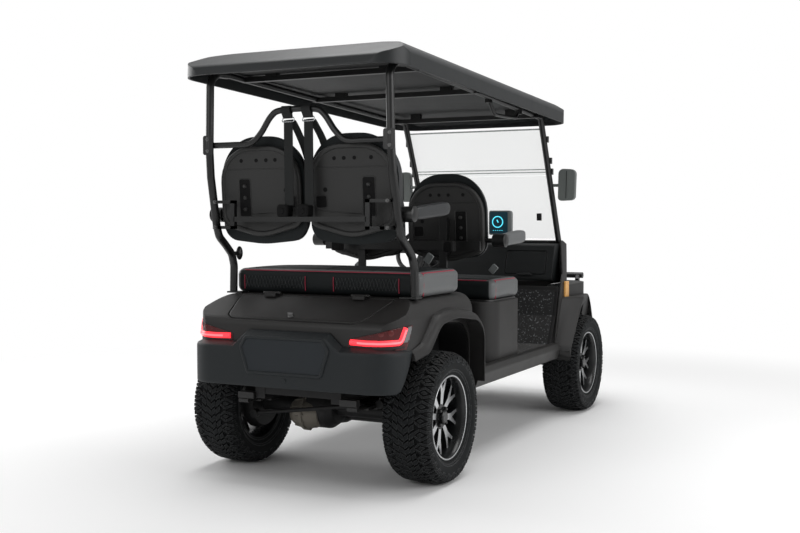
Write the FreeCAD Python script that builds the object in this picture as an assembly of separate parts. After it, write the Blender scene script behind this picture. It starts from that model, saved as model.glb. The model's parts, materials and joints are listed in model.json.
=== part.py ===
import FreeCAD, Part
import math
import os

# Four-seat off-road golf cart. X runs forward, Y to the left, Z up, in millimetres.
# The origin is on the ground under the middle of the cart's overall box.

# Wheels
WHEELBASE = 2080.0
TRACK = 990.0
FRONT_AXLE_X = 1015.0
REAR_AXLE_X = FRONT_AXLE_X - WHEELBASE
TYRE_RADIUS = 292.0
TYRE_WIDTH = 222.0
LUG_DEPTH = 9.0
BEAD_RADIUS = 176.0
RIM_LIP_RADIUS = 189.0
RIM_WALL = 6.0
RIM_WIDTH = 190.0
RIM_FLANGE = 7.0
SPOKE_COUNT = 7
HUB_RADIUS = 46.0
SPINDLE_RADIUS = 17.0
RUNNING_FIT = 0.05
SEAT_GAP = 0.3

# Steering
KINGPIN_Y = 425.0
KINGPIN_RADIUS = 10.0
KNUCKLE_RADIUS = 21.0
KNUCKLE_HEIGHT = 74.0
FORK_PLATE = 12.0
STEER_ARM = 112.0
TIE_ROD_RADIUS = 8.0
PIN_RADIUS = 6.0
WHEEL_Y = 250.0
STEERING_WHEEL_RADIUS = 172.0
STEERING_GRIP = 13.0
STEERING_HUB = (448.0, 990.0)
STEERING_RAKE = 40.0
SHAFT_RADIUS = 11.0
COLUMN_RADIUS = 26.0
COLUMN_LENGTH = 470.0

# Frame
RAIL_Y = 195.0
RAIL_WIDTH = 50.0
RAIL_HEIGHT = 65.0
RAIL_BOTTOM = 369.0
RAIL_REAR = -1395.0
RAIL_FRONT = 1390.0
CROSS_HEIGHT = 44.0
CROSS_LENGTH = 56.0
AXLE_TUBE_RADIUS = 36.0
AXLE_BEAM = 50.0
REAR_SPRING_Y = 278.0
SPRING_WIDTH = 50.0
SPRING_LEAF = 8.0
SPRING_SPAN = 330.0
MOTOR_RADIUS = 76.0
MOTOR_LENGTH = 215.0

# Floor and rockers
FLOOR_PLATE = 6.0
MAT_THICKNESS = 5.0
MAT_MARGIN = 12.0
BODY_HALF = 500.0
ROCKER_OUT = 552.0
ROCKER_TOP = 452.0
ROCKER_BOTTOM = 358.0
TOE_FOOT_X = 556.0
TOE_MID = (650.0, 600.0)
TOE_TOP = (704.0, 770.0)

PEDALS = ((330.0, 96.0), (150.0, 62.0))

# Front seat pod and battery
POD_REAR = -355.0
POD_FRONT = 45.0
POD_TOP = 748.0
POD_WALL = 8.0
POD_CORNER = 112.0
BATTERY = (250.0, 620.0, 240.0)

# Rear body
TAIL_HALF = 520.0
TAIL_FRONT = -662.0
TAIL_DECK = 822.0
TAIL_BREAK_X = -1228.0
TAIL_EDGE = (-1455.0, 728.0)
TAIL_END_X = -1476.0
TAIL_FLOOR = 452.0
TAIL_WALL = 8.0
TAIL_CORNER = 150.0
TAIL_SHOULDER = 84.0
LID_HALF = 398.0
LID_GAP = 5.0
LID_PLATE = 7.0
LID_HINGE_X = -1238.0
HINGE_PIN = 3.0
HINGE_BARREL = 6.5
LID_HINGE_Y = 230.0
TRAY_HALF = 284.0

# Wheel arches and flares
ARCH_RADIUS = 384.0
REAR_ARCH_REACH = 372.0
FLARE_OUT = 600.0
FLARE_BAND = 46.0
LINER_SKIN = 4.0

# Rear bumper
BUMPER_TOP = 604.0
BUMPER_BOTTOM = 440.0
BUMPER_END_X = -1507.0
BUMPER_DEPTH = 60.0
BUMPER_WALL = 7.0
PLATE_WIDTH = 356.0
PLATE_HEIGHT = 146.0
PLATE_BOTTOM = 506.0
PLATE_DEPTH = 9.0
PLATE_RIM = 6.0

# Front cowl and dash
COWL_HALF = 512.0
COWL_REAR = 604.0
COWL_WALL = 8.0
COWL_PEAK = (905.0, 1040.0)
COWL_NOSE = (1420.0, 690.0)
DASH_TOP = 1030.0
GLOVE_HINGE = (724.0, -275.0, 838.0)

# Front guard
GUARD_X = 1506.0
GUARD_RADIUS = 19.0
GUARD_TOP = 800.0
GUARD_BOTTOM = 440.0
GUARD_HALF = 400.0

# Roof
ROOF_HALF = 550.0
ROOF_REAR = -1525.0
ROOF_FRONT = 738.0
ROOF_CORNER = 135.0
ROOF_SKIRT = 1800.0
ROOF_PITCH = 2.03
ROOF_SIDE = 96.0
ROOF_CROWN = 168.0
ROOF_EASE = 1.5
ROOF_SKIN = 9.0
LINER_HEIGHT = 59.6
LINER_PLATE = 5.0

# Tubes that carry the roof
STRUT_RADIUS = 18.0
STRUT_FOOT_Y = 475.0
STRUT_TOP_Y = 455.0
PILLAR_Y = 434.0
PILLAR_RADIUS = 17.0
PILLAR_FOOT = (890.0, 1046.0)
PILLAR_TOP = (557.0, 1745.0)
RAIL_TUBE_RADIUS = 14.0

# Windscreen
SCREEN_GLASS = 6.0
SCREEN_HALF = 434.0
SCREEN_FOLD_Z = 1425.0
SCREEN_TOP_Z = 1693.0
SCREEN_FOOT_Z = 1050.0

# Seats
CUSHION_HALF = 482.0
CUSHION_THICK = 112.0
CUSHION_CORNER = 46.0
REAR_CUSHION_X = (-1162.0, -728.0)
FRONT_CUSHION_X = (-302.0, 80.0)
SEAT_PLATE = 8.0
SEAT_HINGE_Y = 300.0
BACK_WIDTH = 428.0
BACK_HEIGHT = 455.0
BACK_GAP = 22.0
BACK_CROWN = 190.0
BACK_FOOT_CORNER = 95.0
SHELL_DEPTH = 27.0
PAD_DEPTH = 54.0
REAR_BACK = (-1300.0, 1092.0)
FRONT_BACK = (-328.0, 952.0)
RETRACTOR_Y = 57.0
ARMREST_Y = 528.0
ARMREST_LENGTH = 395.0
ARMREST_HALF = 30.0
ARMREST_THICK = 52.0


def vec(x, y, z):
    return FreeCAD.Vector(x, y, z)


def box(x0, x1, y0, y1, z0, z1):
    return Part.makeBox(x1 - x0, y1 - y0, z1 - z0, vec(x0, y0, z0))


def rounded_wire(corners, to_space):
    # Each corner is (a, b) or (a, b, radius). Corners with a radius become tangent arcs.
    count = len(corners)
    edges = []
    starts = []
    ends = []
    for i, corner in enumerate(corners):
        here = FreeCAD.Vector(corner[0], corner[1], 0)
        radius = corner[2] if len(corner) > 2 else 0
        before = FreeCAD.Vector(corners[i - 1][0], corners[i - 1][1], 0)
        after_corner = corners[(i + 1) % count]
        after = FreeCAD.Vector(after_corner[0], after_corner[1], 0)
        to_before = (before - here).normalize()
        to_after = (after - here).normalize()
        half = to_before.getAngle(to_after) / 2
        if radius == 0 or abs(half - math.pi / 2) < 1e-6:
            starts.append(here)
            ends.append(here)
            edges.append(None)
            continue
        reach = radius / math.tan(half)
        start = here + to_before * reach
        end = here + to_after * reach
        centre = here + (to_before + to_after).normalize() * (radius / math.sin(half))
        middle = centre + (here - centre).normalize() * radius
        starts.append(start)
        ends.append(end)
        edges.append(middle)
    path = []
    for i in range(count):
        if edges[i] is not None:
            arc = Part.Arc(to_space(starts[i]), to_space(edges[i]), to_space(ends[i]))
            path.append(arc.toShape())
        gap = starts[(i + 1) % count] - ends[i]
        if gap.Length > 1e-4:
            line = Part.LineSegment(to_space(ends[i]), to_space(starts[(i + 1) % count]))
            path.append(line.toShape())
    return Part.Wire(path)


def prism_y(corners, y0, y1):
    # Corners are (x, z), extruded from y0 to y1.
    wire = rounded_wire(corners, lambda p: vec(p.x, y0, p.y))
    return Part.Face(wire).extrude(vec(0, y1 - y0, 0))


def prism_x(corners, x0, x1):
    # Corners are (y, z), extruded from x0 to x1.
    wire = rounded_wire(corners, lambda p: vec(x0, p.x, p.y))
    return Part.Face(wire).extrude(vec(x1 - x0, 0, 0))


def prism_z(corners, z0, z1):
    # Corners are (x, y), extruded from z0 to z1.
    wire = rounded_wire(corners, lambda p: vec(p.x, p.y, z0))
    return Part.Face(wire).extrude(vec(0, 0, z1 - z0))


def rod(start, end, radius):
    start = vec(*start)
    end = vec(*end)
    return Part.makeCylinder(radius, (end - start).Length, start, end - start)


def tube(points, radius, bend):
    # A round bar along straight runs joined by tangent arcs of one bend radius.
    spots = [vec(*p) for p in points]
    edges = []
    last = spots[0]
    for before, here, after in zip(spots, spots[1:], spots[2:]):
        to_before = (before - here).normalize()
        to_after = (after - here).normalize()
        half = to_before.getAngle(to_after) / 2
        reach = bend / math.tan(half)
        limit = 0.48 * min((before - here).Length, (after - here).Length)
        reach = min(reach, limit)
        turn = reach * math.tan(half)
        centre = here + (to_before + to_after).normalize() * (turn / math.sin(half))
        start = here + to_before * reach
        middle = centre + (here - centre).normalize() * turn
        end = here + to_after * reach
        edges.append(Part.LineSegment(last, start).toShape())
        edges.append(Part.Arc(start, middle, end).toShape())
        last = end
    edges.append(Part.LineSegment(last, spots[-1]).toShape())
    path = Part.Wire(edges)
    circle = Part.Circle(spots[0], spots[1] - spots[0], radius).toShape()
    return path.makePipeShell([Part.Wire([circle])], True, False)


def revolve_y(profile, x, z):
    # Profile corners are (y, radius), or (y, radius, corner), turned about the Y line at x, z.
    wire = rounded_wire(profile, lambda p: vec(x, p.x, z + p.y))
    return Part.Face(wire).revolve(vec(x, 0, z), vec(0, 1, 0), 360)


def mirrored(shape):
    return shape.mirror(vec(0, 0, 0), vec(0, 1, 0))


def both(shape):
    return Part.makeCompound([shape, mirrored(shape)])


def fused(shapes):
    if len(shapes) == 1:
        return shapes[0]
    return shapes[0].multiFuse(shapes[1:]).removeSplitter()


def turned(shape, centre, axis, angle):
    copy = shape.copy()
    copy.rotate(centre, axis, angle)
    return copy


# Wheels: a tyre with shoulder lugs on a spoked rim
def tyre(x, side):
    y = side * TRACK / 2
    half = TYRE_WIDTH / 2
    bead = RIM_WIDTH / 2 - RIM_FLANGE - SEAT_GAP
    ring = revolve_y([
        (-bead, BEAD_RADIUS + SEAT_GAP), (-bead, RIM_LIP_RADIUS + 4, 6), (-half + 3, 226, 26),
        (-half + 4, TYRE_RADIUS - 40, 16),
        (-half + 22, TYRE_RADIUS - LUG_DEPTH, 12),
        (half - 22, TYRE_RADIUS - LUG_DEPTH, 12),
        (half - 4, TYRE_RADIUS - 40, 16),
        (half - 3, 226, 26), (bead, RIM_LIP_RADIUS + 4, 6), (bead, BEAD_RADIUS + SEAT_GAP)], x, TYRE_RADIUS)
    ring = ring.translated(vec(0, y, 0))
    crown = revolve_y([
        (-38, TYRE_RADIUS - LUG_DEPTH - 4), (-30, TYRE_RADIUS),
        (30, TYRE_RADIUS), (38, TYRE_RADIUS - LUG_DEPTH - 4)], x, TYRE_RADIUS)
    crown = crown.translated(vec(0, y, 0))
    return fused([ring, crown])


def rim(x, side):
    y = side * TRACK / 2
    half = RIM_WIDTH / 2
    barrel = revolve_y([
        (-half, RIM_LIP_RADIUS - 14), (-half, RIM_LIP_RADIUS, 2), (-half + RIM_FLANGE, RIM_LIP_RADIUS, 2),
        (-half + RIM_FLANGE, BEAD_RADIUS), (half - RIM_FLANGE, BEAD_RADIUS),
        (half - RIM_FLANGE, RIM_LIP_RADIUS, 2),
        (half, RIM_LIP_RADIUS, 2), (half, RIM_LIP_RADIUS - 14),
        (half - 14, BEAD_RADIUS - RIM_WALL), (-half + 14, BEAD_RADIUS - RIM_WALL)],
        x, TYRE_RADIUS)
    face = side * (half - 34)
    hub = rod((x, face - side * 30, TYRE_RADIUS), (x, face + side * 8, TYRE_RADIUS), HUB_RADIUS + 12)
    spoke = box(x - 13, x + 13, min(face - side * 18, face), max(face - side * 18, face),
                TYRE_RADIUS + HUB_RADIUS, TYRE_RADIUS + BEAD_RADIUS - RIM_WALL + 3)
    axis = vec(x, 0, TYRE_RADIUS)
    spokes = [turned(spoke, axis, vec(0, 1, 0), 360 / SPOKE_COUNT * i) for i in range(SPOKE_COUNT)]
    wheel = fused([barrel, hub] + spokes)
    bore = rod((x, face - side * 31, TYRE_RADIUS), (x, face - side * 4, TYRE_RADIUS),
               SPINDLE_RADIUS + RUNNING_FIT)
    return wheel.cut(bore).translated(vec(0, y, 0))


# Front axle, knuckles and tie rod
def front_axle():
    z = TYRE_RADIUS
    reach = KINGPIN_Y - KNUCKLE_RADIUS - 14
    half = AXLE_BEAM / 2
    beam = box(FRONT_AXLE_X - half, FRONT_AXLE_X + half, -reach, reach, z - half, z + half)
    gap = KNUCKLE_HEIGHT / 2 + 0.5
    plates = []
    for low in (z + gap, z - gap - FORK_PLATE):
        plate = prism_z([
            (FRONT_AXLE_X - 24, reach - 60), (FRONT_AXLE_X - 24, KINGPIN_Y + 22, 20),
            (FRONT_AXLE_X + 24, KINGPIN_Y + 22, 20), (FRONT_AXLE_X + 24, reach - 60)],
            low, low + FORK_PLATE)
        plates.append(plate)
    web = box(FRONT_AXLE_X - 20, FRONT_AXLE_X + 20, reach - 60, reach - 8,
              z - gap - FORK_PLATE, z + gap + FORK_PLATE)
    pin = rod((FRONT_AXLE_X, KINGPIN_Y, z - gap - FORK_PLATE - 6),
              (FRONT_AXLE_X, KINGPIN_Y, z + gap + FORK_PLATE + 6), KINGPIN_RADIUS)
    end = fused(plates + [web, pin])
    pad = box(FRONT_AXLE_X - 34, FRONT_AXLE_X + 34, RAIL_Y - 30, RAIL_Y + 30, z + half, z + half + 6)
    return fused([beam, end, mirrored(end), pad, mirrored(pad)])


def knuckle(side):
    z = TYRE_RADIUS
    half = KNUCKLE_HEIGHT / 2
    boss = rod((FRONT_AXLE_X, KINGPIN_Y, z - half), (FRONT_AXLE_X, KINGPIN_Y, z + half), KNUCKLE_RADIUS)
    tip = TRACK / 2 + RIM_WIDTH / 2 - 34 - 4.5
    spindle = rod((FRONT_AXLE_X, KINGPIN_Y, z), (FRONT_AXLE_X, tip, z), SPINDLE_RADIUS)
    carrier = rod((FRONT_AXLE_X, KINGPIN_Y + 14, z), (FRONT_AXLE_X, TRACK / 2 + 22, z), 34)
    arm = prism_z([
        (FRONT_AXLE_X, KINGPIN_Y - 15), (FRONT_AXLE_X, KINGPIN_Y + 15),
        (FRONT_AXLE_X - STEER_ARM - 15, KINGPIN_Y + 12, 11),
        (FRONT_AXLE_X - STEER_ARM - 15, KINGPIN_Y - 12, 11)], z - 30, z - 18)
    pin = rod((FRONT_AXLE_X - STEER_ARM, KINGPIN_Y, z - 30),
              (FRONT_AXLE_X - STEER_ARM, KINGPIN_Y, z + 8), PIN_RADIUS)
    solid = fused([boss, spindle, carrier, arm, pin])
    bore = rod((FRONT_AXLE_X, KINGPIN_Y, z - half - 1), (FRONT_AXLE_X, KINGPIN_Y, z + half + 1),
               KINGPIN_RADIUS + RUNNING_FIT)
    solid = solid.cut(bore)
    return solid if side > 0 else mirrored(solid)


def tie_rod():
    x = FRONT_AXLE_X - STEER_ARM
    z = TYRE_RADIUS - 8
    bar = rod((x, -KINGPIN_Y, z), (x, KINGPIN_Y, z), TIE_ROD_RADIUS)
    eyes = [rod((x, s * KINGPIN_Y, z - 9), (x, s * KINGPIN_Y, z + 9), 15) for s in (-1, 1)]
    solid = fused([bar] + eyes)
    left = rod((x, KINGPIN_Y, z - 10), (x, KINGPIN_Y, z + 10), PIN_RADIUS + RUNNING_FIT)
    right = rod((x, -KINGPIN_Y, z - 10), (x, -KINGPIN_Y, z + 10), PIN_RADIUS + 0.6)
    return solid.cut(left).cut(right)


# Leaf springs and dampers carry the axles under the frame
def leaf_spring(x, y, seat):
    top = RAIL_BOTTOM - 13
    leaves = []
    for i, share in enumerate((1.0, 0.72, 0.46)):
        span = SPRING_SPAN * share
        rise = (top - seat - 3 * SPRING_LEAF) * share ** 2
        low = seat + SPRING_LEAF * (2 - i)
        outer = Part.Arc(vec(x - span, y, low + rise), vec(x, y, low), vec(x + span, y, low + rise))
        upper = Part.Arc(vec(x + span, y, low + rise + SPRING_LEAF), vec(x, y, low + SPRING_LEAF),
                         vec(x - span, y, low + rise + SPRING_LEAF))
        left = Part.LineSegment(upper.EndPoint, outer.StartPoint)
        right = Part.LineSegment(outer.EndPoint, upper.StartPoint)
        wire = Part.Wire([outer.toShape(), right.toShape(), upper.toShape(), left.toShape()])
        leaf = Part.Face(wire).extrude(vec(0, SPRING_WIDTH, 0))
        leaves.append(leaf.translated(vec(0, -SPRING_WIDTH / 2, 0)))
    eyes = [rod((x + s * SPRING_SPAN, y - SPRING_WIDTH / 2, top),
                (x + s * SPRING_SPAN, y + SPRING_WIDTH / 2, top), 12) for s in (-1, 1)]
    clamp = box(x - 30, x + 30, y - SPRING_WIDTH / 2 - 6, y + SPRING_WIDTH / 2 + 6,
                seat, seat + 3 * SPRING_LEAF + 8)
    return fused(leaves + eyes + [clamp])


def front_suspension():
    seat = TYRE_RADIUS + AXLE_BEAM / 2 + 6
    return both(leaf_spring(FRONT_AXLE_X, RAIL_Y, seat))


def damper(foot, head):
    start = vec(*foot)
    end = vec(*head)
    reach = end - start
    body = rod(foot, tuple(start + reach * 0.58), 19)
    sleeve = rod(tuple(start + reach * 0.5), head, 23)
    return body, sleeve


def rear_suspension():
    seat = TYRE_RADIUS + AXLE_TUBE_RADIUS
    spring = leaf_spring(REAR_AXLE_X, REAR_SPRING_Y, seat)
    hanger_in = RAIL_Y + RAIL_WIDTH / 2
    hangers = []
    for s in (-1, 1):
        x = REAR_AXLE_X + s * SPRING_SPAN
        hangers.append(box(x - 16, x + 16, hanger_in, REAR_SPRING_Y + SPRING_WIDTH / 2,
                           RAIL_BOTTOM - 2, RAIL_BOTTOM + 26))
    foot = (REAR_AXLE_X + 34, REAR_SPRING_Y + 54, TYRE_RADIUS + 30)
    head = (REAR_AXLE_X + 150, REAR_SPRING_Y + 54, RAIL_BOTTOM + 92)
    shock = fused(list(damper(foot, head)))
    shelf = box(REAR_AXLE_X + 120, REAR_AXLE_X + 176, hanger_in, REAR_SPRING_Y + 70,
                RAIL_BOTTOM + 12, RAIL_BOTTOM + 24)
    shelf = shelf.cut(shock)
    return both(fused([spring] + hangers)), both(shock), shelf


def rear_axle():
    z = TYRE_RADIUS
    tip = TRACK / 2 + RIM_WIDTH / 2 - 34 - 4.5
    shaft = rod((REAR_AXLE_X, -tip, z), (REAR_AXLE_X, tip, z), SPINDLE_RADIUS)
    casing = rod((REAR_AXLE_X, -TRACK / 2 + 60, z), (REAR_AXLE_X, TRACK / 2 - 60, z), AXLE_TUBE_RADIUS)
    drums = [rod((REAR_AXLE_X, s * (TRACK / 2 - 60), z), (REAR_AXLE_X, s * (TRACK / 2 + 20), z), 84)
             for s in (-1, 1)]
    diff = revolve_y([(-28, 0), (-28, 72, 14), (10, 98, 26), (120, 98, 26), (165, 60, 14), (165, 0)],
                     REAR_AXLE_X, z)
    gearbox = prism_y([
        (REAR_AXLE_X - 70, z - 70, 40), (REAR_AXLE_X + 130, z - 92, 60),
        (REAR_AXLE_X + 250, z - 84, 60), (REAR_AXLE_X + 262, z + 40, 50),
        (REAR_AXLE_X + 120, z + 66, 40), (REAR_AXLE_X - 40, z + 74, 40)], 8, 96)
    return fused([shaft, casing, diff, gearbox] + drums)


def drive_motor():
    x = REAR_AXLE_X + 178
    z = TYRE_RADIUS - 12
    return rod((x, 8 - MOTOR_LENGTH, z), (x, 8, z), MOTOR_RADIUS)


# Frame: two rails with cross members and outriggers
def frame_rails():
    rail = box(RAIL_REAR, RAIL_FRONT, RAIL_Y - RAIL_WIDTH / 2, RAIL_Y + RAIL_WIDTH / 2,
               RAIL_BOTTOM, RAIL_BOTTOM + RAIL_HEIGHT)
    hangers = []
    for s in (-1, 1):
        x = FRONT_AXLE_X + s * SPRING_SPAN
        hangers.append(rod((x, RAIL_Y - SPRING_WIDTH / 2 - 6, RAIL_BOTTOM - 13),
                           (x, RAIL_Y - SPRING_WIDTH / 2, RAIL_BOTTOM - 13), 16))
        hangers.append(rod((x, RAIL_Y + SPRING_WIDTH / 2, RAIL_BOTTOM - 13),
                           (x, RAIL_Y + SPRING_WIDTH / 2 + 6, RAIL_BOTTOM - 13), 16))
        hangers.append(box(x - 16, x + 16, RAIL_Y - SPRING_WIDTH / 2 - 6, RAIL_Y - SPRING_WIDTH / 2,
                           RAIL_BOTTOM - 13, RAIL_BOTTOM + 4))
        hangers.append(box(x - 16, x + 16, RAIL_Y + SPRING_WIDTH / 2, RAIL_Y + SPRING_WIDTH / 2 + 6,
                           RAIL_BOTTOM - 13, RAIL_BOTTOM + 4))
    return both(fused([rail] + hangers))


def frame_crossmembers():
    inner = RAIL_Y - RAIL_WIDTH / 2
    outer = RAIL_Y + RAIL_WIDTH / 2
    top = RAIL_BOTTOM + RAIL_HEIGHT
    parts = []
    for x in (RAIL_REAR + 30, -640.0, 0.0, 560.0, RAIL_FRONT - 60):
        parts.append(box(x - CROSS_LENGTH / 2, x + CROSS_LENGTH / 2, -inner, inner,
                         top - CROSS_HEIGHT, top))
    for x in (-600.0, 0.0, 540.0):
        arm = box(x - CROSS_LENGTH / 2, x + CROSS_LENGTH / 2, outer, BODY_HALF,
                  top - CROSS_HEIGHT, top)
        parts += [arm, mirrored(arm)]
    return Part.makeCompound(parts)


# Floor sheet with its toe board, and the mats on it
def offset_line(points, distance):
    # Moves a line of (x, z) points sideways, upward and to the rear for a positive distance.
    moved = []
    for i, point in enumerate(points):
        before = points[max(i - 1, 0)]
        after = points[min(i + 1, len(points) - 1)]
        normals = []
        for start, end in ((before, point), (point, after)):
            run = math.hypot(end[0] - start[0], end[1] - start[1])
            if run > 0:
                normals.append(((start[1] - end[1]) / run, (end[0] - start[0]) / run))
        x = sum(n[0] for n in normals)
        z = sum(n[1] for n in normals)
        size = math.hypot(x, z)
        reach = distance / ((normals[0][0] * x + normals[0][1] * z) / size)
        moved.append((point[0] + x / size * reach, point[1] + z / size * reach))
    return moved


def floor_line(rear):
    base = RAIL_BOTTOM + RAIL_HEIGHT
    return [(rear, base), (TOE_FOOT_X, base), TOE_MID, TOE_TOP]


def column_hole(clearance):
    axis = steering_axis()
    return Part.makeCylinder(COLUMN_RADIUS + clearance, 900, steering_centre() - axis * 900, axis)


def floor_pan():
    low = floor_line(TAIL_FRONT)
    pan = prism_y(low + offset_line(low, FLOOR_PLATE)[::-1], -BODY_HALF, BODY_HALF)
    return pan.cut(column_hole(SEAT_GAP))


def floor_mats():
    low = offset_line(floor_line(POD_FRONT + MAT_MARGIN), FLOOR_PLATE)
    share = 0.86
    low[-1] = (low[-2][0] + (low[-1][0] - low[-2][0]) * share, low[-2][1] + (low[-1][1] - low[-2][1]) * share)
    half = BODY_HALF - 20
    front = prism_y(low + offset_line(low, MAT_THICKNESS)[::-1], -half, half).cut(column_hole(6))
    for spot in PEDALS:
        front = front.cut(box(600, 700, spot[0] - 11, spot[0] + 11, 580, 626))
    base = RAIL_BOTTOM + RAIL_HEIGHT + FLOOR_PLATE
    x0 = TAIL_FRONT + MAT_MARGIN
    x1 = POD_REAR - MAT_MARGIN
    rear = prism_z([(x0, -half, 20), (x1, -half, 20), (x1, half, 20), (x0, half, 20)],
                   base, base + MAT_THICKNESS)
    return Part.makeCompound([front, rear])


def rocker_panels():
    inner = BODY_HALF
    skin = 5
    rear = REAR_AXLE_X + REAR_ARCH_REACH + FLARE_BAND
    front = FRONT_AXLE_X - ARCH_RADIUS - FLARE_BAND
    section = [
        (inner, ROCKER_TOP), (ROCKER_OUT - 10, ROCKER_TOP, 12), (ROCKER_OUT, ROCKER_TOP - 30, 20),
        (ROCKER_OUT - 22, ROCKER_BOTTOM, 14), (inner, ROCKER_BOTTOM)]
    hollow = [
        (inner - 1, ROCKER_TOP - skin), (ROCKER_OUT - 12, ROCKER_TOP - skin, 8),
        (ROCKER_OUT - skin, ROCKER_TOP - 30, 14), (ROCKER_OUT - 26, ROCKER_BOTTOM + skin, 8),
        (inner - 1, ROCKER_BOTTOM + skin)]
    shell = prism_x(section, rear, front)
    room = prism_x(hollow, rear + skin, front - skin)
    return both(shell.cut(room))


# Front seat pod: a hollow box with rounded rear corners and an open battery bay
def pod_plan(inset):
    corner = POD_CORNER - inset
    front = 40 - inset if inset < 30 else 8
    return [
        (POD_REAR + inset, -BODY_HALF + inset, corner), (POD_FRONT - inset, -BODY_HALF + inset, front),
        (POD_FRONT - inset, BODY_HALF - inset, front), (POD_REAR + inset, BODY_HALF - inset, corner)]


def front_pod():
    base = RAIL_BOTTOM + RAIL_HEIGHT + FLOOR_PLATE
    outer = prism_z(pod_plan(0), base, POD_TOP)
    room = prism_z(pod_plan(POD_WALL), base - 1, POD_TOP - POD_WALL)
    mouth = prism_z([
        (POD_REAR + 52, -BODY_HALF + 110, 24), (POD_FRONT - 50, -BODY_HALF + 110, 24),
        (POD_FRONT - 50, BODY_HALF - 110, 24), (POD_REAR + 52, BODY_HALF - 110, 24)],
        POD_TOP - POD_WALL - 1, POD_TOP + 1)
    x = POD_FRONT + HINGE_BARREL + 1.5
    z = POD_TOP - HINGE_BARREL
    parts = [outer.cut(room).cut(mouth)]
    for middle in (-SEAT_HINGE_Y, SEAT_HINGE_Y):
        parts.append(rod((x, middle - 44, z), (x, middle + 44, z), HINGE_PIN))
        for s in (-1, 1):
            low = min(middle + s * 30.5, middle + s * 46)
            parts.append(rod((x, low, z), (x, low + 15.5, z), HINGE_BARREL))
            parts.append(box(POD_FRONT - 2, x, low, low + 15.5, z - HINGE_BARREL, z))
    return fused(parts)


def battery_pack():
    base = RAIL_BOTTOM + RAIL_HEIGHT + FLOOR_PLATE
    x = (POD_REAR + POD_FRONT) / 2
    block = box(x - BATTERY[0] / 2, x + BATTERY[0] / 2, -BATTERY[1] / 2, BATTERY[1] / 2,
                base, base + BATTERY[2])
    return block.makeFillet(14, [e for e in block.Edges if abs(e.BoundBox.ZLength - BATTERY[2]) < 1])


# Rear body: the tub below the rear seat and the sloping tail behind it
def tail_solid(inset):
    side = [
        (TAIL_FRONT - inset, TAIL_FLOOR - inset), (TAIL_FRONT - inset, TAIL_DECK - inset, 20),
        (TAIL_BREAK_X, TAIL_DECK - inset, 60),
        (TAIL_EDGE[0] + inset, TAIL_EDGE[1] - inset, 44),
        (TAIL_END_X + inset, TAIL_FLOOR - inset)]
    half = TAIL_HALF - inset
    corner = TAIL_CORNER - inset
    shoulder = TAIL_SHOULDER - inset
    plan = [
        (TAIL_FRONT - inset, -half), (TAIL_FRONT - inset, half),
        (TAIL_END_X + inset, half, corner), (TAIL_END_X + inset, -half, corner)]
    section = [
        (-half, TAIL_FLOOR - inset), (half, TAIL_FLOOR - inset),
        (half, TAIL_DECK - inset, shoulder), (-half, TAIL_DECK - inset, shoulder)]
    solid = prism_y(side, -half, half)
    solid = solid.common(prism_z(plan, TAIL_FLOOR - inset, TAIL_DECK - inset))
    return solid.common(prism_x(section, TAIL_END_X + inset, TAIL_FRONT - inset))


def rear_arch(grow):
    # The rear wheel opening: an upright front leg, a high front shoulder and a falling rear.
    return [
        (REAR_AXLE_X + REAR_ARCH_REACH + grow, 300), (REAR_AXLE_X + REAR_ARCH_REACH + grow, 680 + grow, 128 + grow),
        (REAR_AXLE_X + 60, 708 + grow, 500),
        (REAR_AXLE_X - 312 - grow * 0.6, 596 + grow, 60 + grow), (REAR_AXLE_X - REAR_ARCH_REACH - grow, 300)]


def front_arch(grow):
    z = TYRE_RADIUS
    return [
        (FRONT_AXLE_X - ARCH_RADIUS - grow, z - 30), (FRONT_AXLE_X - ARCH_RADIUS - grow, z + 110, 150),
        (FRONT_AXLE_X - 150, z + ARCH_RADIUS + grow, 190), (FRONT_AXLE_X + 170, z + ARCH_RADIUS + grow, 190),
        (FRONT_AXLE_X + ARCH_RADIUS + grow, z + 110, 150), (FRONT_AXLE_X + ARCH_RADIUS + grow, z - 30)]


def lid_region(grow):
    return prism_z([
        (LID_HINGE_X + grow, -LID_HALF - grow, 10), (LID_HINGE_X + grow, LID_HALF + grow, 10),
        (TAIL_EDGE[0] + 14 - grow, LID_HALF - 60 + grow, 60), (TAIL_EDGE[0] + 14 - grow, -LID_HALF + 60 - grow, 60)],
        TAIL_EDGE[1] - 40, TAIL_DECK + 20)


def lamp_region(grow):
    # Seen from behind: a wedge that widens toward the corner of the body.
    rear = prism_x([
        (293 - grow, 612 - grow, 10), (293 - grow, 662 + grow, 10), (430, 694 + grow, 60),
        (600, 742 + grow), (600, 634 - grow), (400, 606 - grow, 60)], TAIL_END_X - 40, -1290)
    end = prism_y([
        (TAIL_END_X - 60, 560), (-1374 + grow, 560), (-1374 + grow, 600),
        (-1292 + grow, 760), (TAIL_END_X - 60, 760)], 250, 620)
    return rear.common(end)


def rear_body():
    shell = tail_solid(0).cut(tail_solid(TAIL_WALL))
    lid_cut = lid_region(LID_GAP)
    arch = prism_y(rear_arch(0), 366, 700)
    shell = shell.cut(lid_cut).cut(arch).cut(mirrored(arch))
    lamp = lamp_region(SEAT_GAP)
    shell = shell.cut(lamp).cut(mirrored(lamp))
    inner = TAIL_HALF - TAIL_WALL
    well_x = LID_HINGE_X + 22
    wall = box(well_x, well_x + 6, -TRAY_HALF, TRAY_HALF, TAIL_FLOOR, TAIL_DECK - TAIL_WALL)
    tray = box(TAIL_END_X + TAIL_WALL - 1, well_x, -TRAY_HALF, TRAY_HALF, 566, 572)
    sides = [box(TAIL_END_X + TAIL_WALL + 4, well_x + 6, s * TRAY_HALF - 3, s * TRAY_HALF + 3, 566, 690)
             for s in (-1, 1)]
    extras = fused([wall, tray] + sides).common(tail_solid(TAIL_WALL - 1))
    return fused([shell, extras] + lid_hinge_pins())


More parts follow.
